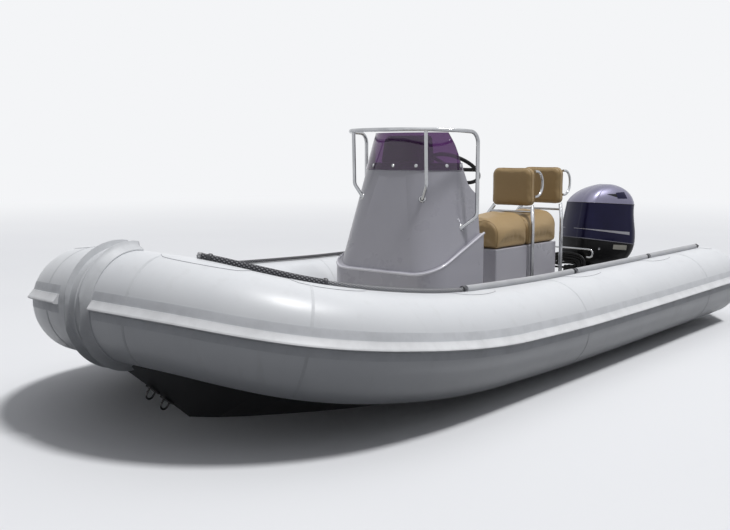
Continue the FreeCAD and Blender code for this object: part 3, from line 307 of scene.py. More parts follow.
def placed(name, mesh, material, body, smooth=40.0):
    """Object from a mesh, smooth but for edges sharper than an angle, riding on a body."""
    mesh.materials.clear()
    mesh.materials.append(material)
    for p in mesh.polygons:
        p.use_smooth = True
    if smooth < 180.0:
        mesh.set_sharp_from_angle(angle=math.radians(smooth))
    piece = bpy.data.objects.new(name, mesh)
    bpy.context.scene.collection.objects.link(piece)
    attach(piece, body)
    return piece


def edges_within(verts):
    """Edges that have both ends among these vertices."""
    inside = set(verts)
    return list({e for v in verts for e in v.link_edges if inside.issuperset(e.verts)})


def ring_sweep(bm, frames, radii, sides, closed_ends=True):
    """Rings extruded one from the next; frames are (point, side, up, along) and radii go with them."""
    along = bm.verts.layers.float["along"]
    around = bm.verts.layers.float["around"]
    ring = bmesh.ops.create_circle(bm, segments=sides, radius=1.0)["verts"]
    for v in ring:
        v[around] = math.degrees(math.atan2(v.co.y, v.co.x))
    loops = []
    for i, ((p, side, up, s), r) in enumerate(zip(frames, radii)):
        if i:
            made = bmesh.ops.extrude_edge_only(bm, edges=edges_within(ring))["geom"]
            ring = [g for g in made if isinstance(g, bmesh.types.BMVert)]
        for v in ring:
            a = math.radians(v[around])
            v.co = p + (side * math.cos(a) + up * math.sin(a)) * r
            v[along] = s
        if i in (0, len(frames) - 1):
            loops.append(ring)
    if closed_ends:
        for loop in loops:
            bmesh.ops.edgeloop_fill(bm, edges=edges_within(loop))


def line_frames(points, closed=False):
    """Frames for a sweep along points, each turned as little as it can be from the one before."""
    frames, s = [], 0.0
    up = None
    last = len(points) - 1
    for i, p in enumerate(points):
        if closed:
            t = (points[(i + 1) % (last + 1)] - points[i - 1]).normalized()
        else:
            t = (points[min(i + 1, last)] - points[max(i - 1, 0)]).normalized()
        if up is None:
            up = Vector((0, 0, 1)) if abs(t.z) < 0.9 else Vector((1, 0, 0))
        up = (up - t * up.dot(t)).normalized()
        s += (p - points[i - 1]).length if i else 0.0
        frames.append((p, t.cross(up), up, s))
    return frames


def bar(bm, points, radius, sides=12):
    """Round bar through points."""
    ring_sweep(bm, line_frames(points), [radius] * len(points), sides)


def tube_pad(bm, along, around, half_l, half_w, thick, roundness=0.0):
    """Pad glued on the tube: its middle, half length and half width in metres, and rounded corners."""
    half_a = math.degrees(half_w / TUBE_R)
    nx = max(2, round(half_l / 0.02))
    ny = max(2, round(half_w / 0.014))
    made = bmesh.ops.create_grid(bm, x_segments=nx, y_segments=ny, size=1.0)["verts"]
    layer_s = bm.verts.layers.float["along"]
    layer_a = bm.verts.layers.float["around"]
    faces = list({f for v in made for f in v.link_faces})
    raised = bmesh.ops.extrude_face_region(bm, geom=faces)["geom"]
    raised = {g for g in raised if isinstance(g, bmesh.types.BMVert)}
    for v in list(made) + list(raised):
        x, y = v.co.x, v.co.y
        disc_x, disc_y = x * math.sqrt(1.0 - y * y / 2.0), y * math.sqrt(1.0 - x * x / 2.0)
        x += (disc_x - x) * roundness
        y += (disc_y - y) * roundness
        v[layer_s], v[layer_a] = along + x * half_l, around + y * half_a
        v.co = tube_point(v[layer_s], v[layer_a], thick if v in raised else SKIN_GAP)


def lathe(bm, profile, axis_point, axis, steps=32):
    """Round piece: profile rows are (radius, height along the axis)."""
    axis = axis.normalized()
    side = axis.orthogonal().normalized()
    verts = [bm.verts.new(axis_point + side * r + axis * h) for r, h in profile]
    edges = [bm.edges.new(pair) for pair in zip(verts, verts[1:])]
    bmesh.ops.spin(bm, geom=verts + edges, cent=axis_point, axis=axis, angle=2.0 * math.pi, steps=steps,
                   use_merge=True, use_normal_flip=False, use_duplicate=False)


def rounded(bm, edges, width, segments):
    """Bevels edges round."""
    bmesh.ops.bevel(bm, geom=edges, offset=width, offset_type="OFFSET", affect="EDGES", segments=segments,
                    profile=0.5, material=-1)


def plate(bm, node, start, towards, width, height, thick, corner=0.008, edge=0.0012):
    """Plate with rounded corners, laid where a line meets a CAD node; its width lies across the boat."""
    at, out = surface_hit(node, start, towards)
    across = (Vector((0.0, 1.0, 0.0)) - out * out.y).normalized()
    turn = Matrix((across, across.cross(out), out)).transposed().to_4x4()
    block = bmesh.new()
    bmesh.ops.create_cube(block, size=1.0)
    bmesh.ops.scale(block, verts=block.verts, vec=(width, height, 2.0 * thick))
    sides = [e for e in block.edges if abs(e.verts[0].co.z - e.verts[1].co.z) > thick]
    rounded(block, sides, corner, 5)
    rim = [e for e in block.edges if min(v.co.z for v in e.verts) > thick * 0.5]
    rounded(block, rim, edge, 2)
    bmesh.ops.transform(block, verts=block.verts, matrix=Matrix.Translation(at) @ turn)
    mesh = bpy.data.meshes.new("plate")
    block.to_mesh(mesh)
    block.free()
    bm.from_mesh(mesh)
    bpy.data.meshes.remove(mesh)


def dial(bm, node, start, towards, radius, height=0.006):
    """Round instrument or knob where a line meets a CAD node."""
    at, out = surface_hit(node, start, towards)
    profile = [(0.0, height * 0.45), (radius * 0.82, height * 0.45), (radius * 0.88, height),
               (radius * 0.96, height * 0.9), (radius, height * 0.3), (radius, -0.003), (0.0, -0.003)]
    lathe(bm, profile, at, out, 36)


def node_copy(node):
    """A bmesh of a CAD node with its loose triangles joined."""
    bm = bmesh.new()
    bm.from_mesh(NODES[node].data)
    bmesh.ops.remove_doubles(bm, verts=bm.verts, dist=1e-5)
    return bm


def paint_node(node, material):
    """A CAD node keeps its shape and takes a finish."""
    mesh = NODES[node].data
    mesh.materials.clear()
    mesh.materials.append(material)


def softened(name, node, material, body, width, segments=3, smooth=40.0):
    """Stands for a CAD node, with its hard edges rounded."""
    bm = node_copy(node)
    bmesh.ops.dissolve_limit(bm, angle_limit=math.radians(0.5), verts=bm.verts, edges=bm.edges)
    piece = finished(name, bm, material, body, smooth)
    bevel = piece.modifiers.new("Rounded edges", "BEVEL")
    bevel.width = width
    bevel.segments = segments
    bevel.limit_method = "ANGLE"
    bevel.angle_limit = math.radians(35.0)
    bevel.harden_normals = True
    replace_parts(piece, node)
    return piece


def trimmed(bm, planes):
    """Keeps what lies behind every plane; planes are (point, normal)."""
    for point, normal in planes:
        bmesh.ops.bisect_plane(bm, geom=bm.verts[:] + bm.edges[:] + bm.faces[:], dist=1e-6, plane_co=point,
                               plane_no=normal, clear_outer=True)


def skin_panel(name, source, planes, material, body, thick=0.0008, smooth=40.0):
    """Thin panel laid on a piece's skin, bounded by planes; source is a bmesh of that piece."""
    out = source.verts.layers.float_vector.new("out")
    bmesh.ops.recalc_face_normals(source, faces=source.faces)
    source.normal_update()
    for v in source.verts:
        v[out] = v.normal
    trimmed(source, planes)
    for v in source.verts:
        v.co += v[out].normalized() * SKIN_GAP
    raised = bmesh.ops.extrude_face_region(source, geom=source.faces[:])["geom"]
    for v in raised:
        if isinstance(v, bmesh.types.BMVert):
            v.co += v[out].normalized() * thick
    return finished(name, source, material, body, smooth)


def section_loops(source, point, normal):
    """Closed outlines where a plane meets a bmesh, as lists of points; the bmesh is used up."""
    made = bmesh.ops.bisect_plane(source, geom=source.verts[:] + source.edges[:] + source.faces[:], dist=1e-6,
                                  plane_co=point, plane_no=normal, clear_outer=True, clear_inner=True)
    links = {}
    for e in made["geom_cut"]:
        if isinstance(e, bmesh.types.BMEdge):
            a, b = e.verts
            links.setdefault(a, []).append(b)
            links.setdefault(b, []).append(a)
    loops, seen = [], set()
    for start in links:
        if start in seen:
            continue
        loop, v = [], start
        while v is not None:
            seen.add(v)
            loop.append(v.co.copy())
            v = next((w for w in links[v] if w not in seen), None)
        if len(loop) > 5:
            loops.append(loop)
    source.free()
    return sorted(loops, key=lambda loop: -sum((a - b).length for a, b in zip(loop, loop[1:])))


def evened(points, step, closed=True):
    """The same line with points at even steps."""
    line = points + points[:1] if closed else points
    total = sum((b - a).length for a, b in zip(line, line[1:]))
    count = max(3, round(total / step))
    rows, i, run = [], 0, 0.0
    for k in range(count if closed else count + 1):
        goal = total * k / count
        while i < len(line) - 2 and run + (line[i + 1] - line[i]).length < goal:
            run += (line[i + 1] - line[i]).length
            i += 1
        span = (line[i + 1] - line[i]).length
        rows.append(line[i].lerp(line[i + 1], min(1.0, (goal - run) / span if span else 0.0)))
    return rows


def welt(bm, loop, normal, radius, sides=8, step=0.012):
    """Bead along a closed outline that lies in one plane."""
    points = evened(loop, step)
    frames, s = [], 0.0
    last = len(points)
    for i in range(last + 1):
        p, before, after = points[i % last], points[i - 1], points[(i + 1) % last]
        t = (after - before).normalized()
        s += (p - before).length
        frames.append((p, t.cross(normal), normal, s))
    ring_sweep(bm, frames, [radius] * len(frames), sides, False)


def object_copy(piece):
    """A bmesh of a piece as its modifiers show it."""
    bm = bmesh.new()
    bm.from_object(piece, bpy.context.evaluated_depsgraph_get())
    return bm


def surface_hit(node, start, towards):
    """Where a line from start meets a CAD node, and the node's normal there."""
    bm = node_copy(node)
    tree = BVHTree.FromBMesh(bm)
    bm.free()
    start, towards = Vector(start), Vector(towards)
    place, normal, _, _ = tree.ray_cast(start, (towards - start).normalized())
    if place is None:
        raise RuntimeError("no surface of " + node + " on that line")
    return place, normal


# Materials

def linear(code, alpha=1.0):
    """Linear colour of an sRGB hex code."""
    channels = [int(code[i:i + 2], 16) / 255.0 for i in (1, 3, 5)]
    return tuple(c / 12.92 if c <= 0.04045 else ((c + 0.055) / 1.055) ** 2.4 for c in channels) + (alpha,)


def dimmed(colour, share):
    """The same colour with a share of its light."""
    return tuple(c * share for c in colour[:3]) + (1.0,)


def add(tree, kind, inputs=(), into=None, out=0, **settings):
    """Adds a node with its settings, links its output into a socket, and gives that output.

    An input is a value, or a socket to link from. A colour mix has its factor in socket 0, its colours in
    6 and 7, and its result in output 2.
    """
    node = tree.nodes.new(kind)
    for key, value in settings.items():
        setattr(node, key, value)
    for key, value in dict(inputs).items():
        if isinstance(value, bpy.types.NodeSocket):
            tree.links.new(value, node.inputs[key])
        else:
            node.inputs[key].default_value = value
    if into is not None:
        tree.links.new(node.outputs[out], into)
    return node.outputs[out]


def surface(name, **sockets):
    """New material with its tree, its shader's inputs and Object coordinates."""
    material = bpy.data.materials.new(name)
    material.use_nodes = True
    tree = material.node_tree
    shader = tree.nodes["Principled BSDF"].inputs
    for key, value in sockets.items():
        shader[key.replace("_", " ")].default_value = value
    return material, tree, shader, add(tree, "ShaderNodeTexCoord", out="Object")


def coated_fabric(colours):
    """Calendered coated fabric: a satin skin over a fine weave, dulled by salt and handling in soft patches."""
    material, tree, shader, coords = surface("coated_fabric_calendered", Roughness=0.42,
                                             Specular_IOR_Level=0.42)
    # Weave of 1.2 mm threads, drawn at 4 mm so that it shows in the render
    weave = add(tree, "ShaderNodeTexNoise", {"Vector": coords, "Scale": 250.0, "Detail": 2.0})
    cloud = add(tree, "ShaderNodeTexNoise", {"Vector": coords, "Scale": 3.2, "Detail": 5.0, "Roughness": 0.6})
    drawn = add(tree, "ShaderNodeMapping", {"Vector": coords, "Scale": (9.0, 9.0, 1.2)})
    streak = add(tree, "ShaderNodeTexNoise", {"Vector": drawn, "Scale": 1.6, "Detail": 4.0})
    wear = add(tree, "ShaderNodeMapRange", {"Value": cloud, "From Min": 0.35, "From Max": 0.7, "To Max": 0.6})
    runs = add(tree, "ShaderNodeMapRange", {"Value": streak, "From Min": 0.58, "From Max": 0.8, "To Max": 0.12})
    tone = add(tree, "ShaderNodeMix", {0: wear, 6: colours.fabric, 7: colours.fabric_worn}, out=2,
               data_type="RGBA")
    add(tree, "ShaderNodeMix", {0: runs, 6: tone, 7: colours.grime}, shader["Base Color"], 2, data_type="RGBA")
    add(tree, "ShaderNodeMapRange", {"Value": cloud, "To Min": 0.28, "To Max": 0.44}, shader["Roughness"])
    add(tree, "ShaderNodeBump", {"Height": weave, "Strength": 0.06, "Distance": 0.0006}, shader["Normal"])
    return material


def satin_rubber(name, colour, rough=0.45, grain=180.0, depth=0.0005):
    """Extruded or moulded rubber: an even satin skin with a fine pebble and faint scuffs."""
    material, tree, shader, coords = surface(name, Roughness=rough, Specular_IOR_Level=0.25)
    pebble = add(tree, "ShaderNodeTexNoise", {"Vector": coords, "Scale": grain, "Detail": 3.0})
    scuff = add(tree, "ShaderNodeTexNoise", {"Vector": coords, "Scale": 7.0, "Detail": 6.0, "Roughness": 0.65})
    pale = add(tree, "ShaderNodeMapRange", {"Value": scuff, "From Min": 0.4, "From Max": 0.75, "To Max": 0.6})
    add(tree, "ShaderNodeMix", {0: pale, 6: colour, 7: dimmed(colour, 0.72)}, shader["Base Color"], 2,
        data_type="RGBA")
    add(tree, "ShaderNodeBump", {"Height": pebble, "Strength": 0.15, "Distance": depth}, shader["Normal"])
    return material


def gelcoat(name, colour, rough=0.2, dull=linear("#ffffff"), dullness=0.25):
    """Polyester gelcoat off a polished mould: hard gloss with a slow ripple, dulled where salt has dried."""
    material, tree, shader, coords = surface(name, Roughness=rough, Coat_Weight=0.25, Coat_Roughness=0.08)
    ripple = add(tree, "ShaderNodeTexNoise", {"Vector": coords, "Scale": 5.0, "Detail": 1.0})
    salt = add(tree, "ShaderNodeTexNoise", {"Vector": coords, "Scale": 2.4, "Detail": 7.0, "Roughness": 0.62})
    speck = add(tree, "ShaderNodeTexNoise", {"Vector": coords, "Scale": 160.0, "Detail": 2.0})
    film = add(tree, "ShaderNodeMapRange", {"Value": salt, "From Min": 0.4, "From Max": 0.8,
                                            "To Max": dullness})
    add(tree, "ShaderNodeMix", {0: film, 6: colour, 7: dull}, shader["Base Color"], 2, data_type="RGBA")
    add(tree, "ShaderNodeMapRange", {"Value": salt, "To Min": rough * 0.7, "To Max": rough * 1.8},
        shader["Roughness"])
    low = add(tree, "ShaderNodeBump", {"Height": ripple, "Strength": 0.25, "Distance": 0.004})
    add(tree, "ShaderNodeBump", {"Height": speck, "Normal": low, "Strength": 0.05, "Distance": 0.0003},
        shader["Normal"])
    return material


def non_slip_gelcoat(colours):
    """Moulded deck gelcoat: diamonds on its level faces, which hold a little grime, and gloss elsewhere."""
    material, tree, shader, coords = surface("gelcoat_deck_moulded", Coat_Weight=0.15)
    # Diamonds 12 mm apart, as a non-slip mould has, drawn at 20 mm so that they show
    turned = add(tree, "ShaderNodeMapping", {"Vector": coords, "Rotation": (0.0, 0.0, math.radians(45.0))})
    diamonds = add(tree, "ShaderNodeTexVoronoi", {"Vector": turned, "Scale": 50.0, "Randomness": 0.0},
                   out="Distance", voronoi_dimensions="2D", distance="CHEBYCHEV")
    grime = add(tree, "ShaderNodeTexNoise", {"Vector": coords, "Scale": 3.0, "Detail": 6.0, "Roughness": 0.6})
    film = add(tree, "ShaderNodeMapRange", {"Value": grime, "From Min": 0.4, "From Max": 0.8, "To Max": 0.3})
    add(tree, "ShaderNodeMix", {0: film, 6: colours.liner, 7: colours.grime}, shader["Base Color"], 2,
        data_type="RGBA")
    facing = add(tree, "ShaderNodeNewGeometry", out="Normal")
    up = add(tree, "ShaderNodeSeparateXYZ", {"Vector": facing}, out="Z")
    level = add(tree, "ShaderNodeMath", {0: up, 1: 0.95}, operation="GREATER_THAN")
    height = add(tree, "ShaderNodeMath", {0: diamonds, 1: level}, operation="MULTIPLY")
    add(tree, "ShaderNodeBump", {"Height": height, "Strength": 0.5, "Distance": 0.0012}, shader["Normal"])
    add(tree, "ShaderNodeMapRange", {"Value": level, "To Min": 0.2, "To Max": 0.5}, shader["Roughness"])
    return material


def polished_stainless():
    """Drawn stainless tube, polished: mirror gloss with faint haze and water spots."""
    material, tree, shader, coords = surface("stainless_steel_polished", Metallic=1.0, Roughness=0.14)
    spots = add(tree, "ShaderNodeTexNoise", {"Vector": coords, "Scale": 60.0, "Detail": 4.0})
    add(tree, "ShaderNodeMapRange", {"Value": spots, "From Min": 0.4, "From Max": 0.8, "To Min": 0.1,
                                     "To Max": 0.3}, shader["Roughness"])
    haze = add(tree, "ShaderNodeTexNoise", {"Vector": coords, "Scale": 9.0, "Detail": 3.0})
    add(tree, "ShaderNodeMix", {0: haze, 6: linear("#c9cacc"), 7: linear("#9a9b9e")}, shader["Base Color"], 2,
        data_type="RGBA")
    return material


def tinted_acrylic(colours):
    """Cast acrylic sheet, dyed through: clear and glossy, with fine wiping scratches."""
    material, tree, shader, coords = surface("acrylic_sheet_tinted", Roughness=0.03, IOR=1.49,
                                             Transmission_Weight=0.72, Coat_Weight=0.3)
    wiped = add(tree, "ShaderNodeMapping", {"Vector": coords, "Scale": (40.0, 40.0, 300.0)})
    scratch = add(tree, "ShaderNodeTexNoise", {"Vector": wiped, "Scale": 1.0, "Detail": 3.0})
    haze = add(tree, "ShaderNodeTexNoise", {"Vector": coords, "Scale": 6.0, "Detail": 5.0})
    add(tree, "ShaderNodeMapRange", {"Value": haze, "From Min": 0.45, "From Max": 0.8, "To Min": 0.02,
                                     "To Max": 0.12}, shader["Roughness"])
    add(tree, "ShaderNodeMix", {0: haze, 6: colours.acrylic, 7: colours.acrylic_thick}, shader["Base Color"], 2,
        data_type="RGBA")
    add(tree, "ShaderNodeBump", {"Height": scratch, "Strength": 0.03, "Distance": 0.0002}, shader["Normal"])
    return material


def vinyl(name, colour, shade):
    """Marine vinyl, embossed with a leather grain: soft sheen, with the grain's valleys a little darker."""
    material, tree, shader, coords = surface(name, Roughness=0.5, Specular_IOR_Level=0.4, Sheen_Weight=0.08)
    # Grain cells 1.5 mm across, drawn at 3.5 mm so that they show
    grain = add(tree, "ShaderNodeTexVoronoi", {"Vector": coords, "Scale": 280.0}, feature="DISTANCE_TO_EDGE")
    valley = add(tree, "ShaderNodeMapRange", {"Value": grain, "From Max": 0.12})
    fade = add(tree, "ShaderNodeTexNoise", {"Vector": coords, "Scale": 5.0, "Detail": 5.0, "Roughness": 0.6})
    tone = add(tree, "ShaderNodeMix", {0: fade, 6: colour, 7: shade}, out=2, data_type="RGBA")
    add(tree, "ShaderNodeMix", {0: valley, 6: shade, 7: tone}, shader["Base Color"], 2, data_type="RGBA")
    bump = add(tree, "ShaderNodeBump", {"Height": valley, "Strength": 0.22, "Distance": 0.0005})
    wrinkle = add(tree, "ShaderNodeTexNoise", {"Vector": coords, "Scale": 14.0, "Detail": 2.0})
    add(tree, "ShaderNodeBump", {"Height": wrinkle, "Normal": bump, "Strength": 0.2, "Distance": 0.003},
        shader["Normal"])
    return material


def moulded_plastic(name, colour, rough=0.42):
    """Injection moulded plastic with a fine spark-eroded grain: even and satin, with a little dust."""
    material, tree, shader, coords = surface(name, Roughness=rough)
    grain = add(tree, "ShaderNodeTexNoise", {"Vector": coords, "Scale": 420.0, "Detail": 2.0})
    dust = add(tree, "ShaderNodeTexNoise", {"Vector": coords, "Scale": 12.0, "Detail": 5.0})
    pale = add(tree, "ShaderNodeMapRange", {"Value": dust, "From Min": 0.45, "From Max": 0.9, "To Max": 0.2})
    add(tree, "ShaderNodeMix", {0: pale, 6: colour, 7: linear("#8b8b90")}, shader["Base Color"], 2,
        data_type="RGBA")
    add(tree, "ShaderNodeBump", {"Height": grain, "Strength": 0.2, "Distance": 0.0003}, shader["Normal"])
    return material


def sprayed_paint(name, colour, flake, metallic=0.55, rough=0.32, gloss=0.5):
    """Sprayed metallic paint under lacquer: fine flake in the colour and a clear gloss over it."""
    material, tree, shader, coords = surface(name, Metallic=metallic, Roughness=rough, Coat_Weight=gloss,
                                             Coat_Roughness=0.08, Specular_IOR_Level=gloss)
    # Flake under 0.1 mm, drawn at 1.5 mm so that it gives some life
    sparkle = add(tree, "ShaderNodeTexVoronoi", {"Vector": coords, "Scale": 650.0}, out="Distance")
    cloud = add(tree, "ShaderNodeTexNoise", {"Vector": coords, "Scale": 4.0, "Detail": 3.0})
    share = add(tree, "ShaderNodeMapRange", {"Value": sparkle, "From Max": 0.6, "To Max": 0.35})
    tone = add(tree, "ShaderNodeMix", {0: share, 6: colour, 7: flake}, out=2, data_type="RGBA")
    add(tree, "ShaderNodeMix", {0: cloud, 6: tone, 7: dimmed(colour, 0.8)}, shader["Base Color"], 2,
        data_type="RGBA")
    add(tree, "ShaderNodeBump", {"Height": cloud, "Strength": 0.05, "Distance": 0.002}, shader["Normal"])
    return material


def braided_rope(name, colour, fleck):
    """Braided polyester: strands that cross in small diamonds, with pale worn crowns."""
    material, tree, shader, coords = surface(name, Roughness=0.85, Sheen_Weight=0.2)
    along = add(tree, "ShaderNodeAttribute", out="Fac", attribute_name="along")
    around = add(tree, "ShaderNodeAttribute", out="Fac", attribute_name="around")
    turns = add(tree, "ShaderNodeMath", {0: around, 1: 12.0 / 360.0}, operation="MULTIPLY")
    # Strand crossings 6 mm apart, as in a 22 mm braid
    steps = add(tree, "ShaderNodeMath", {0: along, 1: 1.0 / 0.012}, operation="MULTIPLY")
    waves = []
    for kind in ("ADD", "SUBTRACT"):
        mixed = add(tree, "ShaderNodeMath", {0: steps, 1: turns}, operation=kind)
        waves.append(add(tree, "ShaderNodeMath", {0: mixed, 1: 1.0}, operation="PINGPONG"))
    crown = add(tree, "ShaderNodeMath", {0: waves[0], 1: waves[1]}, operation="MULTIPLY")
    fibre = add(tree, "ShaderNodeTexNoise", {"Vector": coords, "Scale": 700.0, "Detail": 3.0})
    height = add(tree, "ShaderNodeMath", {0: fibre, 1: 0.25, 2: crown}, operation="MULTIPLY_ADD")
    tone = add(tree, "ShaderNodeMapRange", {"Value": crown, "From Min": 0.15, "From Max": 0.8})
    add(tree, "ShaderNodeMix", {0: tone, 6: colour, 7: fleck}, shader["Base Color"], 2, data_type="RGBA")
    add(tree, "ShaderNodeBump", {"Height": height, "Strength": 0.9, "Distance": 0.003}, shader["Normal"])
    return material


def shown_rays(tree):
    """One for rays from the camera, in mirrors and through glass, else nought."""
    rays = add(tree, "ShaderNodeLightPath").node.outputs
    seen = add(tree, "ShaderNodeMath", {0: rays["Is Camera Ray"], 1: rays["Is Glossy Ray"]},
               operation="MAXIMUM")
    return add(tree, "ShaderNodeMath", {0: seen, 1: rays["Is Transmission Ray"]}, operation="MAXIMUM")


def pale_floor():
    """Studio floor: matt, pale to the camera and in reflections, darker where it lights the boat from below."""
    material, tree, shader, coords = surface("studio_floor_matt", Roughness=0.75, Specular_IOR_Level=0.2)
    below = linear("#303236")
    tone = add(tree, "ShaderNodeTexNoise", {"Vector": coords, "Scale": 0.5, "Detail": 2.0})
    pale = add(tree, "ShaderNodeMix", {0: tone, 6: linear("#e9eaec"), 7: linear("#e4e5e8")}, out=2,
               data_type="RGBA")
    add(tree, "ShaderNodeMix", {0: shown_rays(tree), 6: below, 7: pale}, shader["Base Color"], 2,
        data_type="RGBA")
    # Far off, the floor turns into the white of the backdrop
    reach = add(tree, "ShaderNodeVectorMath", {0: coords}, out="Value", operation="LENGTH")
    far = add(tree, "ShaderNodeMapRange", {"Value": reach, "From Min": 7.0, "From Max": 22.0},
              interpolation_type="SMOOTHSTEP")
    white = add(tree, "ShaderNodeMix", {0: shown_rays(tree), 6: below, 7: linear(BACKDROP)}, out=2,
                data_type="RGBA")
    glow = add(tree, "ShaderNodeEmission", {"Color": white, "Strength": 1.0})
    matt = tree.nodes["Principled BSDF"].outputs[0]
    add(tree, "ShaderNodeMixShader", {0: far, 1: matt, 2: glow},
        tree.nodes["Material Output"].inputs["Surface"])
    return material


def swatch(name, description, code):
    """Colour property whose default is an sRGB hex code."""
    return bpy.props.FloatVectorProperty(name=name, description=description, subtype="COLOR", size=4, min=0.0,
                                         max=1.0, default=linear(code))


class BoatColours(bpy.types.PropertyGroup):
    """Colours of the finishes."""

    fabric: swatch("Fabric", "Coated fabric of the tube", "#dcdee1")
    fabric_worn: swatch("Worn fabric", "Fabric where it is dull", "#d4d6da")
    tape: swatch("Tape", "Tapes along the strake", "#d7d9dd")
    seam: swatch("Seam", "Fabric seams round the tube", "#d8dadd")
    strake: swatch("Strake", "Rubbing strake", "#e8e9eb")
    sleeve: swatch("Sleeve", "Hose over the lifeline", "#b4b5b8")
    guard: swatch("Bow guard", "Rubber guard at the bow", "#d3d5d8")
    grime: swatch("Grime", "Dirt that rain leaves", "#9c9a94")
    hull: swatch("Hull", "Hull gelcoat", "#0b0c0f")
    liner: swatch("Liner", "Deck gelcoat", "#dedcd6")
    console: swatch("Console", "Console gelcoat", "#a09fa8")
    # Paler than the console: a painted highlight for the lit top of the ridge between the mouldings
    bead: swatch("Bead", "Bead between the console's mouldings", "#c9c8d0")
    acrylic: swatch("Acrylic", "Windscreen tint", "#6b3f7a")
    acrylic_thick: swatch("Thick acrylic", "Tint where it is deeper", "#54305f")
    vinyl: swatch("Vinyl", "Seat covers", "#b1976c")
    vinyl_shade: swatch("Vinyl shade", "Grain valleys of the covers", "#9a8058")
    cowl: swatch("Cowl", "Motor cowl paint", "#100f2a")
    cowl_flake: swatch("Cowl flake", "Flake in the cowl paint", "#28265a")
    stripe: swatch("Stripe", "Foil stripe on the cowl", "#8f8e98")
    label: swatch("Label", "Blank label on the lower cowl", "#a8a69c")
    cap: swatch("Cap", "Paint of the cowl's top", "#6b6884")
    cap_flake: swatch("Cap flake", "Flake in the top's paint", "#b6b4c4")


class BoatSizes(bpy.types.PropertyGroup):
    """Sizes that a user would change."""

    tape_w: bpy.props.FloatProperty(name="Tape width", description="Width of the seam tapes", default=0.044,
                                    unit="LENGTH")
    patch_half_l: bpy.props.FloatProperty(name="Patch half length", description="Half length of a line patch",
                                          default=0.21, unit="LENGTH")
    patch_half_w: bpy.props.FloatProperty(name="Patch half width", description="Half width of a line patch",
                                          default=0.085, unit="LENGTH")
    cushion_swell: bpy.props.FloatProperty(name="Cushion swell", description="Most that a cover may swell",
                                           default=0.010, unit="LENGTH")
    screw_r: bpy.props.FloatProperty(name="Screw radius", description="Dome screws of the windscreen",
                                     default=0.0115, unit="LENGTH")


def stuffed(piece, swell, voxel=0.007):
    """Foam under a stretched cover: a short cloth run with pressure inside, capped and kept."""
    remesh = piece.modifiers.new("Even mesh", "REMESH")
    remesh.mode = "VOXEL"
    remesh.voxel_size = voxel
    keep_modifiers(piece)
    start = [v.co.copy() for v in piece.data.vertices]
    cloth = piece.modifiers.new("Stretched cover", "CLOTH")
    cloth.settings.use_pressure = True
    cloth.settings.uniform_pressure_force = 4.0
    cloth.settings.effector_weights.gravity = 0.0
    cloth.settings.tension_stiffness = 15.0
    cloth.settings.quality = 4
    first, last = 1, 20
    cloth.point_cache.frame_start = first
    cloth.point_cache.frame_end = last
    for step in range(first, last + 1):
        bpy.context.scene.frame_set(step)
    keep_modifiers(piece)
    bpy.context.scene.frame_set(first)
    for v, p in zip(piece.data.vertices, start):
        moved = v.co - p
        if moved.length > swell:
            v.co = p + moved * (swell / moved.length)
    bm = bmesh.new()
    bm.from_mesh(piece.data)
    for _ in range(5):
        bmesh.ops.smooth_vert(bm, verts=bm.verts, factor=0.5, use_axis_x=True, use_axis_y=True, use_axis_z=True)
    bm.to_mesh(piece.data)
    bm.free()
    finer = piece.modifiers.new("Finer", "SUBSURF")
    finer.levels = finer.render_levels = 1
    keep_modifiers(piece)


def keep_modifiers(piece):
    """Makes what a piece's modifiers show its own mesh, and takes them off."""
    seen = piece.evaluated_get(bpy.context.evaluated_depsgraph_get())
    mesh = bpy.data.meshes.new_from_object(seen)
    old = piece.data
    piece.modifiers.clear()
    piece.data = mesh
    bpy.data.meshes.remove(old)


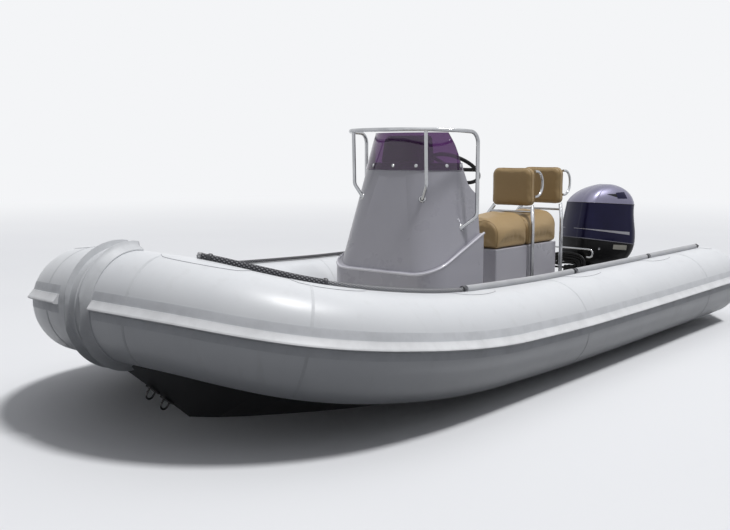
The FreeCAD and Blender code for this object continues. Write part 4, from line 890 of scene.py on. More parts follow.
class BOAT_OT_tube(bpy.types.Operator):
    """Inflated tube with its tapered ends, seam tapes and patches"""

    bl_idname = "boat.tube"
    bl_label = "Tube"

    def execute(self, context):
        sizes, colours = context.scene.boat_sizes, context.scene.boat_colours
        fabric = coated_fabric(colours)
        bm = new_bmesh()
        frames, radii = [], []
        ends = [(TUBE_END + reach, radius) for reach, radius in CONE_ROWS]
        rows = [(s, TUBE_R) for _, _, s in PATH] + ends
        for s, radius in [(-s, r) for s, r in reversed(rows[1:])] + rows:
            frames.append((*tube_frame(s), s))
            radii.append(radius)
        ring_sweep(bm, frames, radii, RING_SIDES)
        skin = finished("tube_skin", bm, fabric, "boat", 35.0)
        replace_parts(skin, "tube_port", "tube_starboard", "tube_cone_port", "tube_cone_starboard")

        tape = satin_rubber("glued_seam_tape", colours.tape, 0.5)
        bm = new_bmesh()
        thin = new_bmesh()
        half = sizes.tape_w / 2.0
        for side in (1.0, -1.0):
            middle = (TUBE_END + STRAKE_START[side]) / 2.0
            for around in (STRAKE_HIGH + TAPE_OFFSET, STRAKE_LOW - TAPE_OFFSET):
                tube_pad(bm, side * middle, around, TUBE_END - middle - 0.001, half, TAPE_T)
            for x in SEAM_X:
                tube_pad(thin, side * along_at_x(x), 90.0, SEAM_HALF_W, SEAM_HALF_L, SEAM_T)
        finished("tube_tapes", bm, tape, "boat", 30.0)
        seam = satin_rubber("glued_fabric_seam", colours.seam, 0.5)
        finished("tube_seams", thin, seam, "boat", 30.0)

        # Patches under the lifeline's rings, each with a fine line of glue along its edge
        patch, glue = new_bmesh(), new_bmesh()
        for x in FITTING_X:
            for side in (1.0, -1.0):
                at = line_along_at_x(x)
                half_l = min(sizes.patch_half_l, TUBE_END - at - 0.004)
                for bm, edge, thick in ((patch, 0.0, PATCH_T), (glue, GLUE_EDGE, GLUE_T)):
                    tube_pad(bm, side * at, ROPE_AROUND - PATCH_OFFSET, half_l + edge,
                             sizes.patch_half_w + edge, thick, PATCH_ROUNDNESS)
        finished("line_patches", patch, fabric, "boat", 30.0)
        dried = satin_rubber("glue_line_dried", linear("#8f9097"), 0.6)
        finished("line_patch_edges", glue, dried, "boat", 30.0)
        return {"FINISHED"}


def guard_place(across, height, around):
    """The guard's ridges stand higher above and below the bow, and lower and wider apart ahead of it."""
    a = math.radians(around)
    full = height * (1.0 + 0.35 * math.sin(a) ** 2)
    room = (TUBE_R + BAND_LIP_T) / max(0.5, math.cos(a)) - TUBE_R
    kept = min(full, room)
    return across + math.copysign(0.5 * (full - kept), across), kept


def section_run(bm, edges, first, last, count):
    """Runs a section drawn at x = first to x = last in even steps, and gives the last row's edges."""
    for i in range(1, count + 1):
        made = bmesh.ops.extrude_edge_only(bm, edges=edges)["geom"]
        row = {g for g in made if isinstance(g, bmesh.types.BMVert)}
        edges = [g for g in made if isinstance(g, bmesh.types.BMEdge) and row.issuperset(g.verts)]
        for v in row:
            v.co.x = first + (last - first) * i / count
    return edges


class BOAT_OT_valves(bpy.types.Operator):
    """Inflation valves on the inner face of the tube"""

    bl_idname = "boat.valves"
    bl_label = "Inflation valves"

    def execute(self, context):
        bm = new_bmesh()
        for x in VALVE_X:
            for side in (1.0, -1.0):
                along = side * along_at_x(x)
                at = tube_point(along, VALVE_AROUND)
                lathe(bm, VALVE_PROFILE, at, at - tube_frame(along)[0], 28)
        nylon = moulded_plastic("valve_moulded_nylon", linear("#2a2b2e"), 0.4)
        finished("inflation_valves", bm, nylon, "boat", 45.0)
        return {"FINISHED"}


class BOAT_OT_guard(bpy.types.Operator):
    """Rubber guard round the bow, and the rubbing strakes"""

    bl_idname = "boat.guard"
    bl_label = "Bow guard and strakes"

    def execute(self, context):
        colours = context.scene.boat_colours
        rubber = satin_rubber("bow_guard_moulded_rubber", colours.guard, 0.42)
        bm = new_bmesh()
        verts = [bm.verts.new((GUARD_FROM, y, h)) for y, h in GUARD_PROFILE]
        edges = [bm.edges.new(pair) for pair in zip(verts, verts[1:])]
        section_run(bm, edges, GUARD_FROM, GUARD_TO, GUARD_STEPS)
        for v in bm.verts:
            around = v.co.x
            across, height = guard_place(v.co.y, v.co.z, around)
            v.co = tube_point(across, around, height)
        guard = finished("bow_guard", bm, rubber, "boat", 40.0)
        wall = guard.modifiers.new("Wall", "SOLIDIFY")
        wall.thickness = GUARD_WALL
        wall.offset = -1.0
        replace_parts(guard, "bow_band")

        strake = satin_rubber("strake_extruded_rubber", colours.strake, 0.4)
        for side, node in ((1.0, "strake_port"), (-1.0, "strake_starboard")):
            bm = new_bmesh()
            first, last = STRAKE_START[side], TUBE_END - 0.001
            verts = [bm.verts.new((first, around, lift)) for around, lift in STRAKE_PROFILE]
            edges = [bm.edges.new(pair) for pair in zip(verts, verts[1:] + verts[:1])]
            bmesh.ops.edgeloop_fill(bm, edges=edges)
            edges = section_run(bm, edges, first, last, max(2, round((last - first) / RUN_STEP)))
            bmesh.ops.edgeloop_fill(bm, edges=edges)
            for v in bm.verts:
                v.co = tube_point(side * v.co.x, v.co.y, v.co.z)
            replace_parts(finished("rubbing_" + node, bm, strake, "boat", 35.0), node)
        return {"FINISHED"}


class BOAT_OT_lifeline(bpy.types.Operator):
    """Grab lines along the tube, braided forward and sleeved aft, with their rings"""

    bl_idname = "boat.lifeline"
    bl_label = "Lifelines"

    def execute(self, context):
        colours = context.scene.boat_colours
        dark = braided_rope("polyester_rope_thick_braid", linear("#2c2c31"), linear("#97979b"))
        pale = braided_rope("polyester_rope_speckled", linear("#55565a"), linear("#d9d9db"))
        sleeve = satin_rubber("hose_sleeve_extruded", colours.sleeve, 0.5, 120.0)
        nylon = moulded_plastic("fairlead_moulded_nylon", linear("#3a3a3f"), 0.35)
        rings = new_bmesh()
        for side, word in ((1.0, "port"), (-1.0, "starboard")):
            stops = [line_along_at_x(x) for x in FITTING_X]
            thick = SLEEVE_R * 0.98
            start = line_along_at_x(ROPE_FIRST_X)
            sleeved = 2
            if side < 0.0:
                # The far line starts behind the bow's crest and is bare as far as the console
                stops[0] = line_along_at_x(STARBOARD_FIRST_X)
                start, thick, sleeved = stops[0] - 0.02, ROPE_R, 3
            runs = [("thick", start, stops[1], dark, thick),
                    ("bare", stops[1], stops[2], pale if side > 0.0 else dark, ROPE_R),
                    ("core", stops[2], TUBE_END - 0.005, dark, ROPE_R)]
            for label, first, last, finish, radius in runs:
                bm = new_bmesh()
                bar(bm, self.run(side, first, last), radius, 16)
                piece = finished("lifeline_" + label + "_" + word, bm, finish, "boat", 60.0)
                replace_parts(piece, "lifeline_" + word)
            bm = new_bmesh()
            for a, b in zip(stops[sleeved:], stops[sleeved + 1:]):
                bar(bm, self.run(side, a + SLEEVE_END, b - SLEEVE_END, 0.0015), HOSE_R, 20)
            finished("lifeline_sleeves_" + word, bm, sleeve, "boat", 60.0)
            for stop in stops:
                before, place, after = [tube_point(side * (stop + d), ROPE_AROUND, SKIN_GAP + SLEEVE_R)
                                        for d in (-0.01, 0.0, 0.01)]
                lathe(rings, RING_PROFILE, place, after - before, 28)
        piece = finished("lifeline_rings", rings, nylon, "boat", 50.0)
        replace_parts(piece, "lifeline_fittings")

        # Whipping at the first end of the thick rope
        bm = new_bmesh()
        at = line_along_at_x(ROPE_FIRST_X)
        bar(bm, self.run(1.0, at - 0.006, at + 0.012), SLEEVE_R * 1.08, 20)
        twine = braided_rope("whipping_twine_pale", linear("#8b8b8e"), linear("#dededf"))
        finished("lifeline_whipping", bm, twine, "boat", 60.0)
        return {"FINISHED"}

    def run(self, side, first, last, lift=0.0):
        """Points of a line on the tube between two lengths from the bow."""
        count = max(2, round((last - first) / RUN_STEP))
        return [tube_point(side * (first + (last - first) * i / count), ROPE_AROUND, SKIN_GAP + SLEEVE_R + lift)
                for i in range(count + 1)]


def shared_steel():
    """The one polished stainless finish, made when it is first asked for."""
    return bpy.data.materials.get("stainless_steel_polished") or polished_stainless()


def shared_grey(colours):
    """The one gelcoat of the console and seat pods, made when it is first asked for."""
    name = "gelcoat_console_polished"
    return bpy.data.materials.get(name) or gelcoat(name, colours.console, 0.24, linear("#b3b2ba"), 0.12)


class BOAT_OT_hull(bpy.types.Operator):
    """Hull, transom, deck and the eyes on them"""

    bl_idname = "boat.hull"
    bl_label = "Hull and deck"

    def execute(self, context):
        colours = context.scene.boat_colours
        black = gelcoat("gelcoat_hull_polished", colours.hull, 0.3, linear("#1c1d20"), 0.4)
        paint_node("hull", black)
        softened("transom_moulding", "transom", black, "boat", 0.010)
        deck = non_slip_gelcoat(colours)
        paint_node("deck_liner", deck)
        coated = sprayed_paint("eye_powder_coat", linear("#101012"), linear("#2a2a2e"), 0.3, 0.4)
        for node in ("bow_eyes", "stern_eyes"):
            paint_node(node, coated)

        # Anchor locker hatch in the foredeck, with its latch
        hatch, latch = new_bmesh(), new_bmesh()
        plate(hatch, "deck_liner", (1.860, 0.0, 1.2), (1.860, 0.0, 0.0), width=0.520, height=0.400, thick=0.006,
              corner=0.050, edge=0.003)
        dial(latch, "deck_liner", (1.700, 0.0, 1.2), (1.700, 0.0, 0.0), 0.026, 0.0095)
        finished("anchor_hatch", hatch, deck, "boat", 40.0)
        nylon = moulded_plastic("latch_moulded_nylon", linear("#1a1a1c"), 0.4)
        finished("anchor_hatch_latch", latch, nylon, "boat", 40.0)
        return {"FINISHED"}


class BOAT_OT_console(bpy.types.Operator):
    """Console mouldings, windscreen with its screws, hood, rail and its feet"""

    bl_idname = "boat.console"
    bl_label = "Console"

    def execute(self, context):
        sizes, colours = context.scene.boat_sizes, context.scene.boat_colours
        grey = shared_grey(colours)
        softened("console_base_moulding", "console_lower", grey, "boat", 0.009)
        softened("console_top_moulding", "console_upper", grey, "boat", 0.009)
        paint_node("windscreen", tinted_acrylic(colours))
        black = moulded_plastic("hood_moulded_abs", linear("#08080a"), 0.5)
        softened("hood_moulding", "instrument_hood", black, "boat", 0.012)
        steel = shared_steel()
        paint_node("console_rail", steel)

        # Dome screws through the windscreen's lap
        z = CONSOLE_TOP_Z - SCREW_DROP
        bm = new_bmesh()
        places = [skin_place(z, y, LAP_T) for y in SCREW_Y]
        half = skin_sizes(z, LAP_T)[1]
        for side in (1.0, -1.0):
            places.append(skin_place(z, side * SCREW_TURN, LAP_T, True))
            places.append((Vector((SCREW_SIDE_X, side * half, z)), Vector((0.0, side, CONSOLE_SIDE_TAPER))))
        r = sizes.screw_r
        for place, out in places:
            lathe(bm, [(0.0, r * 0.55), (r * 0.4, r * 0.5), (r * 0.66, r * 0.32), (r * 0.76, r * 0.14),
                       (r, r * 0.12), (r, -0.002), (0.0, -0.002)], place, out, 20)
        finished("windscreen_screws", bm, steel, "boat", 50.0)

        # Feet of the rail where its legs meet the console
        bm = new_bmesh()
        for start, towards in RAIL_LEGS:
            for side in (1.0, -1.0):
                a = Vector((start[0], side * start[1], start[2]))
                b = Vector((towards[0], side * towards[1], towards[2]))
                place, out = surface_hit("console_upper", a, b)
                lathe(bm, [(0.014, 0.009), (0.017, 0.008), (0.022, 0.004), (0.025, 0.0), (0.025, -0.003),
                           (0.0, -0.003)], place, out, 24)
        finished("rail_feet", bm, steel, "boat", 50.0)

        # Rounded bead along the seam of the two mouldings, in a paler grey than the console: a painted
        # highlight for the lit top of the ridge
        front, half = CONSOLE_FRONT_X + RIDGE_STEP, CONSOLE_HALF_W + RIDGE_SIDE_STEP
        r = CONSOLE_CORNER_R
        corner = [(front - r + r * math.cos(math.radians(a)), half - r + r * math.sin(math.radians(a)))
                  for a in range(0, 91, 9)]
        side_l = front - r - CONSOLE_AFT_X
        port = corner + [(CONSOLE_AFT_X + side_l * (1.0 - i / 8.0), half) for i in range(1, 9)]
        across = [(front, y / 10.0 * (half - r)) for y in range(-8, 9, 4)]
        plan = [(x, -y) for x, y in reversed(port)] + across + port
        # The bead's middle lies this far inside the ridge
        sunk = 0.003
        rows = [Vector((x - sunk, y * (1.0 - sunk / half), RIDGE_FRONT_Z + RIDGE_SLOPE * (CONSOLE_FRONT_X - x)))
                for x, y in plan]
        bm = new_bmesh()
        bar(bm, rows, BEAD_R, 14)
        # The bead's paler grey, and its paler film, are a painted highlight
        bead = gelcoat("gelcoat_bead_painted_highlight", colours.bead, 0.2, linear("#d9d8de"), 0.3)
        finished("console_bead", bm, bead, "boat", 60.0)
        return {"FINISHED"}


def skin_sizes(z, lift=0.0):
    """Front, half width and corner radius of the console's upper moulding at a height."""
    rise = z - CONSOLE_TAPER_Z
    return (CONSOLE_FRONT_X - CONSOLE_RAKE * rise + lift, CONSOLE_HALF_W - CONSOLE_SIDE_TAPER * rise + lift,
            CONSOLE_CORNER_R + CONSOLE_CORNER_GROWTH * rise + lift)


def skin_place(z, across, lift=0.0, turned=False):
    """Place and normal on the console's front; across is y, or the turn round a corner in degrees."""
    front, half, r = skin_sizes(z, lift)
    side = 1.0 if across >= 0.0 else -1.0
    flat = half - r
    if turned:
        a = math.radians(abs(across))
    else:
        a = math.asin(max(0.0, abs(across) - flat) / r)
    middle = side * flat if turned or abs(across) > flat else across
    out = Vector((math.cos(a), side * math.sin(a), 0.0))
    return Vector((front - r, middle, z)) + out * r, (out + Vector((0.0, 0.0, CONSOLE_RAKE))).normalized()


class BOAT_OT_helm(bpy.types.Operator):
    """Steering wheel, gauges and throttle"""

    bl_idname = "boat.helm"
    bl_label = "Helm"

    def execute(self, context):
        black = moulded_plastic("helm_moulded_nylon", linear("#121214"), 0.42)
        grip = satin_rubber("wheel_grip_moulded_foam", linear("#151517"), 0.6, 260.0)
        grey, steel = shared_grey(context.scene.boat_colours), shared_steel()
        softened("helm_bezel", "helm_unit", black, "boat", 0.002)
        softened("throttle_box", "throttle_control", black, "boat", 0.006)
        paint_node("steering_wheel", grip)

        # Display on the hood, and a panel with five switches on the dash, seen along x from astern. Columns:
        # pieces it joins, node, place across and up, width, height, thickness, corner
        glass = gelcoat("display_glass_dark", linear("#0b0d12"), 0.08, linear("#15181f"), 0.3)
        bezels, faces = new_bmesh(), new_bmesh()
        plates = [(bezels, "instrument_hood", -0.045, 1.428, 0.190, 0.118, 0.005, 0.010),
                  (faces, "instrument_hood", -0.045, 1.428, 0.164, 0.092, 0.0062, 0.004),
                  (bezels, "console_upper", -0.040, 1.272, 0.150, 0.046, 0.004, 0.006)]
        plates += [(faces, "console_upper", -0.096 + 0.028 * i, 1.272, 0.020, 0.032, 0.0072, 0.003)
                   for i in range(5)]
        for pieces, node, y, z, width, height, thick, corner in plates:
            plate(pieces, node, (-0.5, y, z), (0.3, y, z), width, height, thick, corner)

        # Gauges. Columns: node, place across and up, radius, turn of the hand in degrees
        rims, hands = new_bmesh(), new_bmesh()
        for node, y, z, radius, turn in (("instrument_hood", 0.108, 1.428, 0.036, 40.0),
                                         ("console_upper", 0.085, 1.276, 0.031, 115.0),
                                         ("console_upper", 0.195, 1.276, 0.031, 70.0)):
            at, out = surface_hit(node, (-0.5, y, z), (0.3, y, z))
            face_r = radius * 0.86
            lathe(faces, [(0.0, 0.004), (face_r, 0.004), (face_r, -0.003), (0.0, -0.003)], at, out, 36)
            lathe(rims, [(radius * 0.84, 0.003), (radius * 0.88, 0.0065), (radius * 0.96, 0.0065),
                         (radius, 0.002), (radius, -0.003), (radius * 0.84, -0.003)], at, out, 48)
            across = (Vector((0.0, -1.0, 0.0)) + out * out.y).normalized()
            # One hand, and ticks round the face. Columns: turn in degrees, height, span as two shares of the
            # radius, half width, sides
            marks = [(turn, 0.0048, -0.18, 0.68, 0.0011, 8)]
            marks += [(tick, 0.0042, 0.68, 0.80, 0.0008, 6) for tick in range(-30, 211, 30)]
            for degrees, height, inner, outer, half_w, sides in marks:
                a = math.radians(degrees)
                ray = (across * math.cos(a) - out.cross(across) * math.sin(a)) * radius
                middle = at + out * height
                bar(hands, [middle + ray * inner, middle + ray * outer], half_w, sides)
        finished("gauge_rims", rims, steel, "boat", 40.0)
        white = moulded_plastic("gauge_print_white", linear("#d8d8d4"), 0.5)
        finished("gauge_hands", hands, white, "boat", 60.0)
        # Ignition switch
        dial(faces, "console_upper", (-0.010, -0.060, 1.5), (-0.010, -0.060, 1.0), 0.016, 0.010)
        finished("dash_bezels", bezels, black, "boat", 40.0)
        finished("dash_faces", faces, glass, "boat", 40.0)

        # Boss of the wheel
        bm = new_bmesh()
        at, _ = surface_hit("steering_wheel", WHEEL_CENTRE + WHEEL_AXIS * 0.3, WHEEL_CENTRE)
        lathe(bm, [(0.0, 0.009), (0.018, 0.008), (0.027, 0.004), (0.030, 0.0), (0.030, -0.003), (0.0, -0.003)],
              at, WHEEL_AXIS, 32)
        finished("wheel_boss", bm, black, "steering_wheel", 45.0)

        # Locker door in the back of the console, with its hinges and latch
        door, metal = new_bmesh(), new_bmesh()
        plate(door, "console_lower", (-1.0, 0.0, 0.545), (0.3, 0.0, 0.545), width=0.520, height=0.500,
              thick=0.007, corner=0.045, edge=0.003)
        for y in (-0.16, 0.16):
            plate(metal, "console_lower", (-1.0, y, 0.275), (0.3, y, 0.275), width=0.060, height=0.046,
                  thick=0.009, corner=0.006)
        finished("locker_door", door, grey, "boat", 40.0)
        finished("locker_hinges", metal, steel, "boat", 40.0)
        latch = new_bmesh()
        dial(latch, "console_lower", (-1.0, 0.0, 0.745), (0.3, 0.0, 0.745), 0.024, 0.014)
        finished("locker_latch", latch, black, "boat", 40.0)
        return {"FINISHED"}


class BOAT_OT_seats(bpy.types.Operator):
    """Jockey seats: pods, cushions, frames and backrest pads"""

    bl_idname = "boat.seats"
    bl_label = "Seats"

    def execute(self, context):
        sizes, colours = context.scene.boat_sizes, context.scene.boat_colours
        grey, steel = shared_grey(colours), shared_steel()
        cover = vinyl("vinyl_seat_cover_embossed", colours.vinyl, colours.vinyl_shade)
        piping = satin_rubber("vinyl_welt_extruded", colours.vinyl_shade, 0.5)
        for word in ("front", "rear"):
            softened("pod_moulding_" + word, "seat_pod_" + word, grey, "boat", 0.008)
            for node in ("backrest_frame_", "hand_loop_port_", "hand_loop_starboard_"):
                paint_node(node + word, steel)
            for node, name in (("seat_cushion_", "cushion_"), ("backrest_pad_", "backrest_cover_")):
                low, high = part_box(node + word)
                bm = bmesh.new()
                section = section_cushion if name == "cushion_" else section_pad
                section(bm, low + COVER_INSET, high - COVER_INSET)
                piece = finished(name + word, bm, cover, "boat", 180.0)
                stuffed(piece, sizes.cushion_swell)
                piece.data.materials.clear()
                piece.data.materials.append(cover)
                for p in piece.data.polygons:
                    p.use_smooth = True
                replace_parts(piece, node + word)
                bm = new_bmesh()
                for x in (high.x - WELT_INSET, low.x + WELT_INSET):
                    ahead = Vector((1.0, 0.0, 0.0))
                    outline = section_loops(object_copy(piece), Vector((x, 0.0, 0.0)), ahead)[0]
                    welt(bm, outline, ahead, WELT_R)
                finished(name + "welts_" + word, bm, piping, "boat", 60.0)
        return {"FINISHED"}


def outline_block(bm, rows, front, back):
    """Block with one outline seen from ahead; gives the edges round its front and back."""
    cap = bm.faces.new([bm.verts.new((front, y, z)) for y, z in rows])
    made = bmesh.ops.extrude_face_region(bm, geom=[cap])["geom"]
    raised = [g for g in made if isinstance(g, bmesh.types.BMVert)]
    bmesh.ops.translate(bm, verts=raised, vec=(back - front, 0.0, 0.0))
    return [e for e in bm.edges if abs(e.verts[0].co.x - e.verts[1].co.x) < 1e-6]


def section_cushion(bm, low, high):
    """Cushion: a section across the boat with large shoulders, run fore and aft and lower at the front."""
    round_r = 0.124
    rows = [(low.y, low.z), (low.y, high.z - round_r)]
    for i in range(1, 10):
        a = math.radians(10.0 * i)
        rows.append((low.y + round_r * (1.0 - math.cos(a)), high.z - round_r * (1.0 - math.sin(a))))
    rows += [(-y, z) for y, z in reversed(rows)]
    rims = outline_block(bm, rows, high.x, low.x)
    for v in bm.verts:
        if v.co.x > (low.x + high.x) / 2.0:
            v.co.z = low.z + (v.co.z - low.z) * CUSHION_FRONT_SHARE
    rounded(bm, rims, 0.014, 3)


def section_pad(bm, low, high):
    """Backrest pad: a rounded outline seen from ahead, bevelled into its front and back."""
    rows = []
    # Columns: across, height, turn of the corner's start in degrees, radius
    corners = [(high.y, high.z, 0.0, 0.060), (low.y, high.z, 90.0, 0.060), (low.y, low.z, 180.0, 0.040),
               (high.y, low.z, 270.0, 0.040)]
    for y, z, turn, round_r in corners:
        cy = y - round_r if y > 0.0 else y + round_r
        cz = z - round_r if z == high.z else z + round_r
        for i in range(7):
            a = math.radians(turn + 15.0 * i)
            rows.append((cy + round_r * math.cos(a), cz + round_r * math.sin(a)))
    rounded(bm, outline_block(bm, rows, high.x, low.x), 0.018, 4)


class BOAT_OT_motor(bpy.types.Operator):
    """Outboard motor: cowls, leg, brackets and propeller"""

    bl_idname = "boat.motor"
    bl_label = "Motor"

    def execute(self, context):
        colours = context.scene.boat_colours
        navy = sprayed_paint("cowl_paint_metallic", colours.cowl, colours.cowl_flake, 0.4, 0.34, 0.14)
        silver = sprayed_paint("cap_paint_metallic", colours.cap, colours.cap_flake, 0.5, 0.36, 0.5)
        black = sprayed_paint("motor_paint_satin_black", linear("#040405"), linear("#0b0b0d"), 0.0, 0.5, 0.14)
        steel = shared_steel()
        paint_node("motor_upper_cowl", navy)
        paint_node("motor_cowl_cap", silver)
        for node in ("motor_powerhead", "propeller", "steering_cylinder", "motor_lower_cowl", "motor_leg",
                     "motor_gearcase", "motor_clamp_bracket", "motor_swivel_bracket"):
            paint_node(node, black)
        place = motor_place()
        turn = place.to_3x3()

        def plane(x, z, nx, nz):
            """Plane across the motor through a place on its middle."""
            return place @ Vector((x, 0.0, z)), turn @ Vector((nx, 0.0, nz))

        def outside(side, y):
            """Plane fore and aft that keeps one side of the motor."""
            return place @ Vector((0.0, side * y, 0.0)), turn @ Vector((0.0, -side, 0.0))

        foil = sprayed_paint("stripe_foil_silver", colours.stripe, linear("#c9c8cf"), 0.3, 0.35)
        label = satin_rubber("label_foil_pale", colours.label, 0.4)
        # Each plane: a place fore and aft and up, and the way that is cut off. The silver stripe over the seam
        # is wider aft
        stripe_planes = [plane(COWL_FRONT_X, 0.7275, 0.084, -1.0), plane(COWL_FRONT_X, 0.7310, -0.036, 1.0),
                         plane(-2.720, 0.7, -1.0, 0.0)]
        label_planes = [plane(-2.549, 0.6, 1.0, 0.0), plane(-2.697, 0.6, -1.0, 0.0),
                        plane(-2.549, 0.556, 0.03, -1.0), plane(-2.549, 0.597, -0.02, 1.0)]
        # Air inlet of the cap: a black wedge ahead of a dark lens
        wedge_planes = [plane(-2.487, 1.0415, 0.06, 1.0), plane(-2.581, 1.030, -1.0, 0.0),
                        plane(-2.487, 1.0405, 0.235, -1.0)]
        lens_planes = [plane(-2.585, 1.058, 0.12, 1.0), plane(-2.690, 1.030, -1.0, 0.25),
                       plane(-2.585, 1.006, -0.04, -1.0), plane(-2.583, 1.030, 1.0, -0.1)]
        # Columns: name, node it lies on, planes that bound it, least distance from the middle, finish, slot,
        # thickness
        panels = (("cowl_stripe_", "motor_upper_cowl", stripe_planes, 0.07, foil, "cowl_cap", 0.0006),
                  ("cowl_label_", "motor_lower_cowl", label_planes, 0.05, label, "tape", 0.0008),
                  ("cap_inlet_", "motor_cowl_cap", wedge_planes, 0.05, black, "motor_black", 0.0014),
                  ("cap_lens_", "motor_cowl_cap", lens_planes, 0.05, navy, "cowl", 0.0011))
        for side, word in ((1.0, "port"), (-1.0, "starboard")):
            for name, node, planes, inner, finish, slot, thick in panels:
                skin_panel(name + word, node_copy(node), planes + [outside(side, inner)], finish, "motor_steer",
                           thick)

        # Flushing port low on the side
        bm = new_bmesh()
        for side in (1.0, -1.0):
            start, towards = place @ Vector((-2.405, side * 0.40, 0.556)), place @ Vector((-2.405, 0.0, 0.556))
            at, out = surface_hit("motor_lower_cowl", start, towards)
            lathe(bm, [(0.0, 0.0030), (0.0060, 0.0026), (0.0085, 0.0040), (0.0105, 0.0034), (0.0115, 0.0),
                       (0.0115, -0.002), (0.0, -0.002)], at, out, 24)
        finished("flushing_port", bm, steel, "motor_steer", 50.0)

        # Steel bail and black hoses over the steering cylinder
        bm = new_bmesh()
        bail_r = 0.008
        bail = [Vector(p) for p in ((-2.166, -0.200, 0.420), (-2.156, -0.200, 0.480), (-2.148, -0.200, 0.540),
                                    (-2.147, -0.188, 0.558), (-2.147, -0.168, 0.563), (-2.147, -0.030, 0.562),
                                    (-2.147, 0.150, 0.560), (-2.147, 0.178, 0.556), (-2.147, 0.190, 0.543),
                                    (-2.147, 0.192, 0.520), (-2.147, 0.186, 0.500), (-2.147, 0.170, 0.492),
                                    (-2.147, 0.140, 0.491))]
        bar(bm, bail, bail_r, 14)
        finished("steering_bail", bm, steel, "motor_tilt", 60.0)
        bm = new_bmesh()
        hose_r, foot_z, sway = 0.0105, 0.400, 0.010
        # Nested hoses. Columns: start across the boat, rise, reach, place fore and aft
        for start, lift, reach, x in ((-0.228, 0.114, 0.336, -2.165), (-0.206, 0.092, 0.292, -2.172),
                                      (-0.184, 0.070, 0.248, -2.166), (-0.162, 0.048, 0.204, -2.174),
                                      (-0.140, 0.026, 0.160, -2.168), (-0.217, 0.103, 0.314, -2.188),
                                      (-0.195, 0.081, 0.270, -2.190), (-0.170, 0.058, 0.220, -2.188)):
            run = []
            for i in range(25):
                a = math.pi * i / 24.0
                run.append(Vector((x + sway * math.sin(a * 2.0), start + reach * (1.0 - math.cos(a)) / 2.0,
                                   foot_z + lift * math.sin(a) ** 0.5)))
            bar(bm, run, hose_r, 12)
        hose = satin_rubber("hose_extruded_black", linear("#0e0e10"), 0.4)
        finished("steering_hoses", bm, hose, "motor_tilt", 60.0)

        # Rubber lip in the seam of the cowls, and a fine line under the cap
        bm = new_bmesh()
        point, normal = plane(COWL_FRONT_X, 0.645, -SEAM_SLOPE, 1.0)
        normal.normalize()
        outline = section_loops(node_copy("motor_upper_cowl"), point + normal * 0.002, normal)[0]
        welt(bm, outline, normal, 0.0035)
        lip = satin_rubber("seam_lip_moulded", linear("#6a6a74"), 0.4)
        finished("cowl_seam_lip", bm, lip, "motor_steer", 60.0)
        bm = new_bmesh()
        point, normal = plane(0.0, 0.9595, 0.0, 1.0)
        welt(bm, section_loops(node_copy("motor_upper_cowl"), point, normal)[0], normal, 0.0022)
        finished("cap_seam_lip", bm, black, "motor_steer", 60.0)
        return {"FINISHED"}


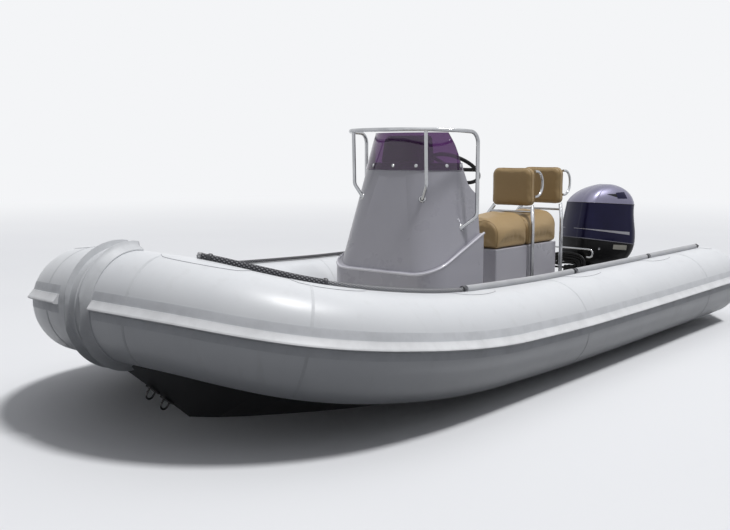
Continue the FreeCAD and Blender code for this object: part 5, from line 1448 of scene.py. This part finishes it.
class BOAT_OT_stage(bpy.types.Operator):
    """Floor at the waterline, soft light and the camera"""

    bl_idname = "boat.stage"
    bl_label = "Stage"

    def execute(self, context):
        scene = context.scene
        bm = bmesh.new()
        bmesh.ops.create_circle(bm, cap_ends=True, segments=96, radius=FLOOR_R)
        mesh = bpy.data.meshes.new("floor")
        bm.to_mesh(mesh)
        bm.free()
        floor = bpy.data.objects.new("floor", mesh)
        mesh.materials.append(pale_floor())
        scene.collection.objects.link(floor)

        world = bpy.data.worlds.new("soft_sky")
        scene.world = world
        world.use_nodes = True
        tree = world.node_tree
        light = tree.nodes["Background"]
        light.inputs["Color"].default_value = linear(SKY)
        light.inputs["Strength"].default_value = SKY_STRENGTH
        plain = add(tree, "ShaderNodeBackground", {"Color": linear(BACKDROP), "Strength": 1.0})
        add(tree, "ShaderNodeMixShader", {0: shown_rays(tree), 1: light.outputs[0], 2: plain},
            tree.nodes["World Output"].inputs["Surface"])

        sun = bpy.data.objects.new("key", bpy.data.lights.new("key", "SUN"))
        sun.data.energy = KEY_STRENGTH
        sun.data.angle = KEY_SPREAD
        sun.rotation_euler = Vector(KEY_WAY).to_track_quat("-Z", "Y").to_euler()
        scene.collection.objects.link(sun)

        box = bpy.data.objects.new("softbox", bpy.data.lights.new("softbox", "AREA"))
        box.data.shape = "RECTANGLE"
        box.data.size, box.data.size_y = BOX_SIZE
        box.data.energy = BOX_WATTS
        box.location = BOX_PLACE
        scene.collection.objects.link(box)

        lens = bpy.data.cameras.new("camera")
        lens.sensor_width = CAMERA_SENSOR
        lens.lens = CAMERA_FOCAL
        camera = bpy.data.objects.new("camera", lens)
        level = math.cos(CAMERA_PITCH)
        view = Vector((CAMERA_HEADING[0] * level, CAMERA_HEADING[1] * level, -math.sin(CAMERA_PITCH)))
        camera.location = CAMERA_PLACE
        camera.rotation_euler = view.to_track_quat("-Z", "Y").to_euler()
        scene.collection.objects.link(camera)
        scene.camera = camera
        scene.view_settings.view_transform = "Standard"
        return {"FINISHED"}


STEPS = (BOAT_OT_tube, BOAT_OT_valves, BOAT_OT_guard, BOAT_OT_lifeline, BOAT_OT_hull, BOAT_OT_console,
         BOAT_OT_helm, BOAT_OT_seats, BOAT_OT_motor, BOAT_OT_stage)


class BOAT_PT_panel(bpy.types.Panel):
    """Lists the boat's pieces"""

    bl_label = "Boat"
    bl_idname = "BOAT_PT_panel"
    bl_space_type = "VIEW_3D"
    bl_region_type = "UI"
    bl_category = "Boat"

    def draw(self, context):
        for step in STEPS:
            self.layout.operator(step.bl_idname)
        for group in (context.scene.boat_sizes, context.scene.boat_colours):
            for key in group.bl_rna.properties.keys():
                if key not in ("rna_type", "name"):
                    self.layout.prop(group, key)


CLASSES = (BoatColours, BoatSizes) + STEPS + (BOAT_PT_panel,)


def register():
    """Registers the add-on's classes and the scene's settings."""
    for item in CLASSES:
        bpy.utils.register_class(item)
    bpy.types.Scene.boat_colours = bpy.props.PointerProperty(type=BoatColours)
    bpy.types.Scene.boat_sizes = bpy.props.PointerProperty(type=BoatSizes)


def unregister():
    """Takes the settings and classes off again."""
    del bpy.types.Scene.boat_colours
    del bpy.types.Scene.boat_sizes
    for item in reversed(CLASSES):
        bpy.utils.unregister_class(item)


def main():
    """Makes the whole boat, one operator after the other."""
    register()
    for step in STEPS:
        group, name = step.bl_idname.split(".")
        getattr(getattr(bpy.ops, group), name)()


if __name__ == "__main__":
    main()
